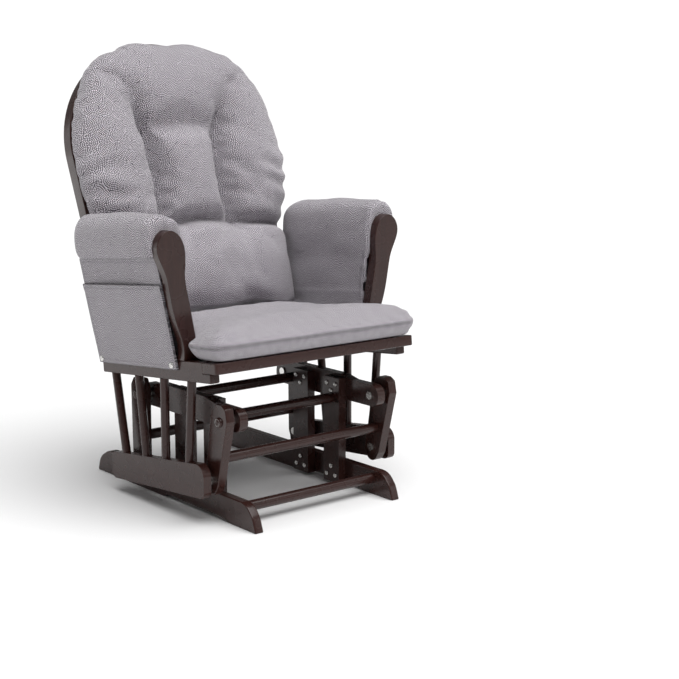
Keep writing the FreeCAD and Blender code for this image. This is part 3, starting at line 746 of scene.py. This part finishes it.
@dataclass
class Fasteners:
    """Steel: domed heads with a cross recess sit over the plain screw and bolt heads.

    Attributes:
        screw_radius: Radius of a post screw's head.
        bolt_radius: Radius of an arm bolt's head.
        rise: Height of a dome as a share of its radius.
        recess: Depth of the cross recess as a share of the radius.
        bedding: How far a dome's rim sits below the face of the plain head.
        cap_radius: Radius of the dark cap over a pivot's nut.
        cap_rise: Height of a cap as a share of its radius.
        cap_sink: How far a cap reaches back over its nut.
    """

    screw_radius: float = 0.0055
    bolt_radius: float = 0.0075
    rise: float = 0.42
    recess: float = 0.16
    bedding: float = 0.0005
    cap_radius: float = 0.0115
    cap_rise: float = 0.62
    cap_sink: float = 0.0048

    def heads(
        self, name: str, node: str, radius: float, outward: bool, rise: float, cross: float
    ) -> bpy.types.Object:
        """One domed head over each solid of a node, open on the side where it sits.

        The dome is a quarter ellipse turned about X: height = rise * cos(a), radius = sin(a), with the
        recess sunk where the spot lies near either of two crossed lines.

        Args:
            name: Object name.
            node: Frame node with one solid for each fastener.
            radius: Radius of a head.
            outward: Whether the heads face away from the middle of the chair.
            rise: Height of a dome as a share of its radius.
            cross: Depth of the recess as a share of the radius.

        Returns:
            One object that holds every head.
        """
        centres = solid_boxes(frame["nodes"][node])
        rings, around = 9, 28
        lift = np.sin(np.linspace(0, math.pi / 2, rings))[:, None] * np.ones(around)
        turn = np.linspace(0, TURN, around, endpoint=False)[None, :]
        y, z = lift * np.cos(turn) * radius, lift * np.sin(turn) * radius
        height = radius * rise * np.sqrt(np.clip(1 - lift ** 2, 0, 1))
        near = np.minimum(np.abs(y), np.abs(z)) / radius
        reach = np.maximum(np.abs(y), np.abs(z)) / radius
        height = height - radius * cross * (1 - fade(near, 0.10, 0.17)) * (1 - fade(reach, 0.5, 0.62))
        vertices, faces = [], []
        pattern = ring_faces(rings, around)
        for low, high in centres:
            side = math.copysign(1.0, (low[0] + high[0]) / 2)
            face = side if outward else -side
            seat = max(abs(low[0]), abs(high[0])) if outward else min(abs(low[0]), abs(high[0]))
            seat = side * seat
            base = len(vertices) * rings * around
            middle = (low + high) / 2
            spots = np.stack([seat + face * (height - self.bedding), middle[1] + y, middle[2] + z], axis=-1)
            vertices.append(spots.reshape(-1, 3))
            faces += ((pattern if face > 0 else pattern[:, ::-1]) + base).tolist()
        return make_piece(name, np.vstack(vertices), faces, outward=False)

    def build(self) -> None:
        """Build the heads and caps and dress the plain steel nodes."""
        steel = BrightSteel().material()
        shape = (self.rise, self.recess)
        screws = self.heads("post_screw_heads", "post_screws", self.screw_radius, False, *shape)
        bolts = self.heads("arm_bolt_heads", "arm_bolts", self.bolt_radius, True, *shape)
        caps = self.heads("pivot_caps", "upper_pivot_bolts", self.cap_radius, True, self.cap_rise, 0.0)
        points = read_points(caps.data)
        write_points(caps.data, points - self.cap_sink * np.sign(points) * [1, 0, 0])
        dress(caps, DarkWood(Grain.UPRIGHT).material())
        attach(caps, "base")
        for piece, body in ((screws, "base"), (bolts, SEAT_BODY)):
            dress(piece, steel)
            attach(piece, body)
        slots = {row["node"]: row["material_slot"] for row in frame["record"]["subparts"]}
        for node, piece in frame["nodes"].items():
            if slots[node] == "bright_steel":
                dress(piece, steel)
        log.info("screw and bolt heads done")


def solid_boxes(piece: bpy.types.Object) -> list:
    """Box of each separate solid of a node.

    Points in one place are one point.  Each takes the lowest number that a triangle joins it to, over and
    over until nothing changes, so every solid ends up with one number.

    Args:
        piece: Object whose mesh is loose triangles.

    Returns:
        Pairs of low and high corners, in the order in which the solids first appear.
    """
    mesh = piece.data
    mesh.calc_loop_triangles()
    triangles = np.empty(len(mesh.loop_triangles) * 3, np.int32)
    mesh.loop_triangles.foreach_get("vertices", triangles)
    points = read_points(mesh)
    _, place = np.unique(np.round(points, 5), axis=0, return_inverse=True)
    place = place.ravel()
    corners = place[triangles].reshape(-1, 3)
    label = np.full(place.max() + 1, len(points))
    np.minimum.at(label, place, np.arange(len(points)))
    changed = True
    while changed:
        before = label.copy()
        lowest = label[corners].min(axis=1)
        np.minimum.at(label, corners.ravel(), np.repeat(lowest, 3))
        changed = bool((label != before).any())
    owner = label[place]
    solids = [points[owner == number] for number in np.unique(owner)]
    return [(solid.min(axis=0), solid.max(axis=0)) for solid in solids]


# ---------------------------------------------------------------------------------------------- cushions


@dataclass
class BackCushion:
    """Tall round-topped cushion with two sewn channels, a raised middle panel and a lumbar roll.

    Sizes are in the reclined drawing: across, and up from the foot of the back.  Forward is away from the
    hoop.
    """

    cloth: bpy.types.Material
    outline: tuple = (
        (0.0, 0.775), (0.110, 0.775), (0.205, 0.730), (0.268, 0.640), (0.300, 0.530), (0.296, 0.410),
        (0.268, 0.310), (0.250, 0.200), (0.252, -0.020), (0.0, -0.020),
    )
    channel: tuple = (
        (0.150, 0.650), (0.118, 0.590), (0.097, 0.520), (0.090, 0.430), (0.096, 0.350), (0.104, 0.305),
    )
    upper_crease: tuple = ((-0.092, 0.546), (-0.045, 0.556), (0.0, 0.559), (0.045, 0.556), (0.092, 0.546))
    lower_crease: tuple = (
        (-0.300, 0.292), (-0.150, 0.303), (-0.104, 0.312), (0.0, 0.318), (0.104, 0.312), (0.150, 0.303),
        (0.300, 0.292),
    )
    middle: float = 0.43
    gap: float = 0.020
    rim: float = 0.052
    plump: float = 0.094
    foot: float = 0.1145
    voxel: float = 0.0075

    def form(self) -> bpy.types.Object:
        """Closed pillow: rings drawn in from the outline, domed forwards and flat behind.

        With r the share of the way out, the front stands (1 - r^3.2)^0.5 of the plumpness ahead of the rim.
        The back lies at the gap in the middle and comes forward to the rim by 1 - (1 - r^6)^0.5.
        """
        half = np.array(self.outline)
        loop = smooth_loop(np.vstack([half, (half * [-1, 1])[::-1]]), 300)
        centre = np.array([0.0, self.middle])
        share = np.sin(np.linspace(0.02, 0.5, 40) * math.pi)
        front = self.rim + (self.plump - self.rim + 0.012) * np.sqrt(1 - share ** 3.2)
        back = self.gap + (self.rim - self.gap) * (1 - np.sqrt(1 - share ** 6))
        shares = np.concatenate([share, share[::-1][1:]])
        forward = np.concatenate([front, back[::-1][1:]])
        flat = centre + shares[:, None, None] * (loop - centre)
        chair = back_frame().to_chair(flat[..., 0], -forward[:, None] * np.ones(len(loop)), flat[..., 1])
        return closed_loft("back_cushion_cover", self.stand(chair))

    def stand(self, points: np.ndarray) -> np.ndarray:
        """Flatten whatever lies below the top of the seat cushion, which this cushion stands on."""
        drawing = seat_frame().to_drawing(points)
        drawing[..., 2] = np.maximum(drawing[..., 2], self.foot)
        return seat_frame().to_chair(drawing[..., 0], drawing[..., 1], drawing[..., 2])

    def sewn(self, points: np.ndarray) -> np.ndarray:
        """Firmness of each point: the channels, the creases and the back are held."""
        across, behind, up = back_frame().to_drawing(points).T
        ahead = -behind
        channel, _ = line_distance(np.abs(across), up, self.channel)
        upper, _ = line_distance(across, up, self.upper_crease)
        lower, _ = line_distance(across, up, self.lower_crease)
        front = ahead > self.rim
        firm = np.where(front & (channel < 0.006), 1.0, 0.0)
        firm = np.where(front & (upper < 0.006), 0.8, firm)
        firm = np.where(front & (lower < 0.006), 0.9, firm)
        return np.where(ahead < self.gap + 0.006, 1.0, firm)

    def press(self, points: np.ndarray, share: float) -> np.ndarray:
        """Push the sewn lines back into the filling by a share of their full depth."""
        drawing = back_frame().to_drawing(points)
        across, behind, up = drawing.T
        ahead = -behind
        front = fade(ahead, self.rim - 0.01, self.rim + 0.03)
        channel, run = line_distance(np.abs(across), up, self.channel)
        taper = fade(run, 0.0, 0.13)
        swell = 0.013 * valley(np.abs(across) - 0.195, 0.065)
        swell += 0.010 * valley(across, 0.060) * (1 - fade(up, 0.50, 0.56))
        swell += 0.010 * valley(up - 0.215, 0.075) * (1 - fade(np.abs(across), 0.16, 0.25))
        depth = 0.046 * taper * valley(channel, 0.021)
        upper, _ = line_distance(across, up, self.upper_crease)
        depth = np.maximum(depth, 0.024 * valley(upper, 0.030))
        lower, _ = line_distance(across, up, self.lower_crease)
        depth = np.maximum(depth, 0.034 * valley(lower, 0.019))
        drawing[:, 1] += share * (depth - swell) * front
        return back_frame().to_chair(*drawing.T)

    def crease(self, piece: bpy.types.Object) -> None:
        """Draw sharp seam lines, puckers beside them, gathers along the rim and soft folds in the wings."""
        points = read_points(piece.data)
        normals = read_normals(piece.data)
        across, behind, up = back_frame().to_drawing(points).T
        ahead = -behind
        front = fade(ahead, self.rim - 0.012, self.rim + 0.02)
        channel, run = line_distance(np.abs(across), up, self.channel)
        upper, upper_run = line_distance(across, up, self.upper_crease)
        lower, lower_run = line_distance(across, up, self.lower_crease)
        taper = fade(run, 0.02, 0.12)
        lift = -0.0050 * taper * valley(channel, 0.0060)
        lift -= 0.0015 * valley(upper, 0.0080) + 0.0050 * valley(lower, 0.0060)
        for gap, travel, seed in ((channel, run, 3), (upper, upper_run, 4), (lower, lower_run, 5)):
            wobble = 0.010 * ripple(points, 0.12, seed)
            pucker = np.sin((travel + wobble) * TURN / 0.036)
            lift += 0.0007 * pucker * valley(gap - 0.016, 0.014)
        angle = np.arctan2(up - self.middle, across)
        gather = np.sin(angle * 78 + 2.2 * ripple(points, 0.16, 7))
        edge = valley(ahead - self.rim, 0.022)
        lift += 0.0013 * gather * (0.6 + 0.4 * ripple(points, 0.30, 11)) * edge
        wing = fade(np.abs(across), 0.15, 0.24) * fade(up, 0.28, 0.34) * (1 - fade(up, 0.44, 0.52))
        fold = np.sin((up + 0.05 * np.abs(across) + 0.010 * ripple(points, 0.10, 8)) * TURN / 0.052)
        lift += 0.0042 * fold * wing * front
        turn = np.arctan2(0.300 - up, across - 0.085)
        reach = np.hypot(across - 0.085, up - 0.300)
        fan = np.sin(turn * 9 + 1.2 * ripple(points, 0.12, 12))
        fan = fan * fade(reach, 0.02, 0.06) * (1 - fade(reach, 0.10, 0.19))
        lift += 0.0017 * fan * fade(0.300 - up, 0.0, 0.03) * front
        lift += 0.0020 * ripple(points, 0.15, 9) * front + 0.0003 * ripple(points, 0.04, 10) * front
        seam = valley(ahead - self.rim + 0.004, 0.004)
        lift -= 0.0028 * seam
        write_points(piece.data, self.stand(points + normals * lift[:, None]))
        # Painted shade: the cloth is darkened along the channels, the lower crease and the rim seam.
        lines = np.maximum(taper * valley(channel, 0.0045), valley(lower, 0.0045)) * front * 0.8
        paint_seam_shade(piece, np.maximum(lines, valley(ahead - self.rim + 0.004, 0.0035)))

    def build(self) -> None:
        """Build, fill, sew and dress the cushion."""
        piece = self.form()
        write_points(piece.data, self.stand(self.press(read_points(piece.data), 0.8)))
        fill_out(piece, self.voxel, 0.024, self.sewn, slack=0.03)
        write_points(piece.data, self.stand(self.press(read_points(piece.data), 0.3)))
        self.crease(piece)
        surface_map(piece, BACK_TILT)
        round_off(piece)
        dress_soft(piece, self.cloth)
        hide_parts("back_cushion")


@dataclass
class SeatCushion:
    """Thick seat cushion with ears in front of the arms and a seam round its middle.

    Sizes are in the seat's level drawing: across, back from its front corner, and up.
    """

    cloth: bpy.types.Material
    outline: tuple = (
        (0.0, -0.044), (0.200, -0.044), (0.262, -0.043), (0.283, -0.030), (0.283, 0.004), (0.274, 0.086),
        (0.246, 0.092), (0.238, 0.140), (0.240, 0.300), (0.240, 0.420), (0.120, 0.430), (0.0, 0.430),
    )
    centre: tuple = (0.0, 0.030)
    bottom: float = 0.0460
    seam: float = 0.079
    top: float = 0.119
    voxel: float = 0.0055

    def form(self) -> bpy.types.Object:
        """Closed pillow of rings drawn in from the outline, domed above the seam and tapering below it.

        With d the distance in from the outline, the top rises by (1 - (1 - d/68 mm)^2)^0.66 of its height and
        the underside falls by (1 - (1 - d/24 mm)^1.6)^0.8 of its depth, both measured from the seam.
        """
        half = np.array(self.outline)
        loop = smooth_loop(np.vstack([half, (half * [-1, 1])[::-1]]), 320)
        centre = np.array(self.centre)
        share = np.sin(np.linspace(0.02, 0.5, 44) * math.pi)
        flat = centre + share[:, None, None] * (loop - centre)
        inward = np.stack([np.linalg.norm(ring[:, None] - loop[None], axis=-1).min(axis=1) for ring in flat])
        rise = (1 - (1 - np.clip(inward / 0.068, 0, 1)) ** 2) ** 0.66
        fall = (1 - (1 - np.clip(inward / 0.024, 0, 1)) ** 1.6) ** 0.8
        upper = self.seam + (self.top - self.seam) * rise
        under = self.seam - (self.seam - self.bottom) * fall
        flat = np.concatenate([flat, flat[::-1][1:]])
        height = np.concatenate([upper, under[::-1][1:]])
        chair = seat_frame().to_chair(flat[..., 0], flat[..., 1], height)
        return closed_loft("seat_cushion_cover", chair)

    def sewn(self, points: np.ndarray) -> np.ndarray:
        """Firmness of each point: the underside is held, and the seam nearly as firmly."""
        _, _, up = seat_frame().to_drawing(points).T
        return np.where(up < self.bottom + 0.004, 1.0, np.where(np.abs(up - self.seam) < 0.005, 0.9, 0.0))

    def crease(self, piece: bpy.types.Object) -> None:
        """Pinch the seam, pucker the cloth beside it and lay soft hollows over the top."""
        points = read_points(piece.data)
        normals = read_normals(piece.data)
        across, along, up = seat_frame().to_drawing(points).T
        edge = fade(np.abs(normals[:, 0]) + np.abs(normals[:, 1]), 0.35, 0.8)
        gap = up - self.seam
        lift = 0.0022 * valley(gap, 0.0050) * edge
        travel = across + 1.3 * along
        pucker = np.sin((travel + 0.010 * ripple(points, 0.10, 21)) * TURN / 0.034)
        lift += 0.0010 * pucker * valley(gap, 0.016) * edge
        corner = valley(np.abs(np.abs(across) - 0.262), 0.020) * valley(along + 0.02, 0.020)
        lift += 0.0018 * corner * np.sin(up * TURN / 0.016)
        above = fade(up, self.seam, self.top)
        lift += (0.0024 * ripple(points, 0.16, 22) + 0.0007 * ripple(points, 0.045, 23)) * above
        # Painted shade: the cloth is darkened along the pinched middle seam.
        paint_seam_shade(piece, valley(gap + 0.0025, 0.0036) * edge)
        moved = points + normals * lift[:, None]
        drawing = seat_frame().to_drawing(moved)
        drawing[:, 2] = np.maximum(drawing[:, 2], self.bottom - 0.0004)
        write_points(piece.data, seat_frame().to_chair(*drawing.T))

    def build(self) -> None:
        """Build, fill, sew and dress the cushion."""
        piece = self.form()
        fill_out(piece, self.voxel, 0.009, self.sewn, slack=0.01)
        self.crease(piece)
        surface_map(piece, SEAT_TILT)
        round_off(piece)
        dress_soft(piece, self.cloth)
        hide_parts("seat_cushion")


# ---------------------------------------------------------------------------------------------- arms


@dataclass
class ArmCover:
    """Padded cover of one arm, with the panel that hangs inside and the pocket panel outside.

    Sizes are in the seat's level drawing.
    """

    side: Side
    cloth: bpy.types.Material
    section: tuple = (
        (0.3300, 0.2660), (0.3440, 0.2700), (0.3500, 0.3000), (0.3480, 0.3420), (0.3280, 0.3710),
        (0.2960, 0.3710), (0.2660, 0.3560), (0.2570, 0.3100), (0.2555, 0.2500), (0.2520, 0.1500),
        (0.2490, 0.0480), (0.2545, 0.0470), (0.2580, 0.1500), (0.2640, 0.2400), (0.2690, 0.2700),
        (0.3000, 0.2705),
    )
    front: float = 0.088
    rear: float = 0.453
    set_back: float = 0.030
    voxel: float = 0.0060

    def form(self) -> bpy.types.Object:
        """Closed form: the section carried back from the stile, rounded off behind and flat in front.

        Near the rear the pad is drawn in towards its middle by (1 - e^2)^(1/2), and near the front by
        1 - 0.16 e^2.5, where e is the share of the end length used up.  The top sinks towards the front.
        The hanging panel keeps its section, and its front edge is set back.
        """
        loop = smooth_loop(self.section, 220)
        steps = np.linspace(0, 1, 60)
        place = self.front + (self.rear - self.front) * (0.5 - 0.5 * np.cos(math.pi * steps))
        start = np.clip((self.front + 0.020 - place) / 0.020, 0, 1)
        end = np.clip((place - self.rear + 0.070) / 0.070, 0, 1)
        scale = (1 - 0.16 * start ** 2.5) * np.sqrt(np.clip(1 - end ** 2, 0.001, 1))
        middle = np.array([0.290, 0.315])
        pad = fade(loop[:, 1], 0.225, 0.275)[None, :, None]
        spread = middle + (1 + (scale[:, None, None] - 1) * pad) * (loop - middle)
        done = ((place - self.front) / (self.rear - self.front))[:, None]
        top = fade(loop[:, 1], 0.30, 0.37)[None, :]
        spread[..., 1] += top * (0.003 - 0.011 * (1 - fade(place, self.front, self.front + 0.19)))[:, None]
        drawn_back = self.set_back * (1 - fade(loop[:, 1], 0.14, 0.29))[None, :]
        along = place[:, None] + drawn_back * (1 - done)
        chair = seat_frame().to_chair(self.side.value * spread[..., 0], along, spread[..., 1])
        return closed_loft(f"arm_cover_{self.side.word}", chair)

    def sewn(self, points: np.ndarray) -> np.ndarray:
        """Firmness of each point: the hanging panel, the seam outside and the face on the stile are held."""
        across, along, up = seat_frame().to_drawing(points).T
        panel = up < 0.235
        under = (up < 0.276) & (np.abs(across) > 0.262)
        return np.where(panel | under | (along < self.front + 0.006), 1.0, 0.0)

    def crease(self, piece: bpy.types.Object) -> None:
        """Lay soft hollows over the pad and short pulls where the cover is fixed behind the stile."""
        points = read_points(piece.data)
        normals = read_normals(piece.data)
        across, along, up = seat_frame().to_drawing(points).T
        outer = np.abs(across)
        high = fade(up, 0.24, 0.30)
        lift = 0.0009 * ripple(points, 0.16, 31) * high + 0.0003 * ripple(points, 0.05, 32) * high
        inside = (1 - high) * (1 - fade(outer, 0.262, 0.270))
        lift += 0.0022 * ripple(points * [1, 0.6, 1.6], 0.15, 33) * inside
        near = valley(along - self.front, 0.035) * fade(up, 0.26, 0.33)
        lift += 0.0008 * np.sin(outer * TURN / 0.024 + ripple(points, 0.08, 34)) * near
        tuck, _ = line_distance(outer, along, ((0.348, 0.100), (0.326, 0.108), (0.306, 0.094)))
        lift -= 0.0045 * valley(tuck, 0.0045) * fade(up, 0.30, 0.34)
        write_points(piece.data, points + normals * lift[:, None])
        # Painted shade: the cloth is darkened along the set-back front hem of the hanging part and along the
        # seam under the pad's outer overhang.
        edge = self.front + self.set_back * (1 - fade(up, 0.14, 0.29))
        hem = valley(along - edge - 0.010, 0.0022) * (1 - high)
        under = valley(up - 0.2690, 0.0035) * fade(outer, 0.315, 0.322)
        paint_seam_shade(piece, np.maximum(hem, under) * 0.8)

    def panel(self, name: str, low: float, high: float, flare: Callable, rear: float) -> bpy.types.Object:
        """Flat hanging panel, two-sided, that follows the slope of the arm.

        Across = slope line + flare, for a grid of places back and heights; the wall is a fabric's thickness.

        Args:
            name: Object name.
            low: Height of the bottom edge.
            high: Height of the top edge.
            flare: Function of (place back, height) that gives the distance outside the slope line.
            rear: Place of the rear edge at the bottom.

        Returns:
            The new panel, with a live thickness.
        """
        rows, columns = 90, 110
        height = np.linspace(low, high, rows)[:, None] * np.ones(columns)
        share = np.ones(rows)[:, None] * np.linspace(0, 1, columns)
        base = seat_frame()
        stile_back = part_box("arm_stile_left")[1].y + 0.0006
        tilt = math.radians(base.tilt)
        front = (stile_back - base.depth - height * math.sin(tilt)) / math.cos(tilt)
        back_edge = rear - 0.026 * np.clip((height - 0.024) / 0.25, 0, 1)
        along = front + share * (back_edge - front)
        slope = 0.2784 + np.clip((height - 0.046) / (0.2694 - 0.046), -0.1, 1) * (0.3240 - 0.2784)
        across = self.side.value * (slope + flare(along, height))
        chair = base.to_chair(across, along, height).reshape(-1, 3)
        row, column = np.meshgrid(np.arange(rows - 1), np.arange(columns - 1), indexing="ij")
        first = row * columns + column
        faces = np.stack([first, first + 1, first + columns + 1, first + columns], axis=-1).reshape(-1, 4)
        if self.side is Side.LEFT:
            faces = faces[:, ::-1]
        piece = make_piece(name, chair, faces.tolist(), outward=False)
        # Painted shade: the panel's cloth is darkened along its edges and along a line just inside them,
        # which takes in the pocket's mouth.
        inset = np.minimum(along - front, back_edge - along)
        inset = np.minimum(inset, np.minimum(height - low, high - height))
        paint_seam_shade(piece, (valley(inset, 0.0018) + 0.5 * valley(inset - 0.009, 0.0016)).ravel())
        wall = piece.modifiers.new("cloth", "SOLIDIFY")
        wall.thickness = CLOTH_WALL
        wall.offset = 0.0
        surface_map(piece, SEAT_TILT)
        dress_soft(piece, self.cloth)
        return piece

    def build(self) -> None:
        """Build and dress the cover, the outer panel and its pocket."""
        word = self.side.word
        piece = self.form()
        fill_out(piece, self.voxel, 0.005, self.sewn)
        self.crease(piece)
        surface_map(piece, SEAT_TILT)
        round_off(piece)
        dress_soft(piece, self.cloth)
        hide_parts(f"arm_pad_{word}", f"arm_inner_skirt_{word}")

        def wave(along: np.ndarray, height: np.ndarray) -> np.ndarray:
            """Slight slackness of the outer panel between its sewn edges."""
            slack = np.sin(along * 31) * 0.5 + np.sin(along * 74 + height * 9) * 0.3
            return 0.0012 * slack * fade(height, 0.05, 0.12)

        def sag(along: np.ndarray, height: np.ndarray) -> np.ndarray:
            """The pocket stands off towards its open mouth, most in the middle."""
            middle = np.sin(np.clip((along - 0.12) / 0.32, 0, 1) * math.pi)
            mouth = fade(height, 0.06, 0.21)
            hem = 0.0011 * fade(height, 0.196, 0.1985)
            return wave(along, height) + 0.0030 + (0.0050 * middle ** 1.5 + 0.0004) * mouth + hem

        outer = self.panel(f"arm_side_panel_{word}", 0.0235, 0.2710, wave, 0.456)
        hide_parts(f"arm_outer_skirt_{word}")
        self.panel(f"arm_pocket_{word}", 0.0240, 0.2120, sag, 0.457)


# ---------------------------------------------------------------------------------------------- studio


@dataclass
class Studio:
    """Pale floor, soft lights and the camera.

    Attributes:
        eye: Place of the camera.
        aim: Point that the camera looks at.
        lens: Focal length for a 36 mm sensor, in millimetres.
        sky: Strength of the light that comes from all round.
    """

    eye: tuple = (-1.8791, -2.7049, 0.9443)
    aim: tuple = (0.2270, -0.1290, 0.3410)
    lens: float = 73.84
    sky: float = 0.16

    def floor(self) -> None:
        """Large round floor under the chair."""
        radii, around = np.array([0.5, 3.0, 14.0])[:, None], 64
        turn = np.linspace(0, TURN, around, endpoint=False)[None, :]
        rings = np.stack([radii * np.cos(turn), radii * np.sin(turn), radii * 0 * turn], axis=-1)
        vertices = np.vstack([rings.reshape(-1, 3), [[0, 0, 0]]])
        middle = len(vertices) - 1
        faces = ring_faces(len(radii), around)[:, ::-1].tolist()
        faces += [[middle, k, (k + 1) % around] for k in range(around)]
        piece = make_piece("studio_floor", vertices, faces, outward=False)
        dress(piece, StudioFloor().material())

    def light(self, name: str, place: tuple, aim: tuple, size: float, power: float) -> None:
        """Square soft light that faces a point.

        Args:
            name: Object name.
            place: Where the light stands.
            aim: Point it faces.
            size: Side of the square.
            power: Power in watts.
        """
        data = bpy.data.lights.new(name, "AREA")
        data.size = size
        data.energy = power
        lamp = bpy.data.objects.new(name, data)
        lamp.location = place
        face(lamp, aim)
        bpy.context.scene.collection.objects.link(lamp)

    def sun(self, direction: tuple, spread: float, power: float) -> None:
        """Main light from far away.

        Args:
            direction: Direction towards the light.
            spread: Angle that the light takes up in the sky, in degrees.
            power: Power on a surface that faces it.
        """
        data = bpy.data.lights.new("main_light", "SUN")
        data.angle = math.radians(spread)
        data.energy = power
        lamp = bpy.data.objects.new("main_light", data)
        lamp.location = direction
        face(lamp, (0.0, 0.0, 0.0))
        bpy.context.scene.collection.objects.link(lamp)

    def build(self) -> None:
        """Build the floor, lights, sky and camera."""
        self.floor()
        self.sun((0.05, -0.30, 0.84), 65.0, 3.45)
        self.light("left_rear", (-1.7, 2.4, 0.8), (0.0, 0.0, 0.35), 1.5, 6.0)
        self.light("right_front", (2.3, -3.0, 1.3), (0.0, 0.0, 0.35), 1.2, 6.0)
        world = bpy.data.worlds.new("studio")
        world.use_nodes = True
        board = world.node_tree
        sky = board.nodes["Background"]
        sky.inputs["Color"].default_value = (1.0, 1.0, 1.0, 1.0)
        seen = board.nodes.new("ShaderNodeLightPath")
        strength = board.nodes.new("ShaderNodeMapRange")
        strength.inputs["To Min"].default_value = self.sky
        strength.inputs["To Max"].default_value = 1.05
        board.links.new(seen.outputs["Is Camera Ray"], strength.inputs["Value"])
        board.links.new(strength.outputs["Result"], sky.inputs["Strength"])
        scene = bpy.context.scene
        scene.world = world
        scene.view_settings.view_transform = "Standard"
        data = bpy.data.cameras.new("camera")
        data.lens = self.lens
        data.sensor_width = 36.0
        data.clip_end = 60.0
        camera = bpy.data.objects.new("camera", data)
        camera.location = self.eye
        face(camera, self.aim)
        scene.collection.objects.link(camera)
        scene.camera = camera
        log.info("studio done")


def face(thing: bpy.types.Object, aim: tuple) -> None:
    """Turn a light or camera to face a point."""
    direction = Vector(aim) - Vector(thing.location)
    thing.rotation_euler = direction.to_track_quat("-Z", "Y").to_euler()


def main() -> None:
    """Build every sub-assembly in order."""
    logging.basicConfig(level=logging.INFO, format="%(message)s")
    cloth = DottedFabric().material()
    BackCushion(cloth).build()
    SeatCushion(cloth).build()
    for side in Side:
        ArmCover(side, cloth).build()
    Fasteners().build()
    Woodwork().build()
    Studio().build()


if __name__ == "__main__":
    main()
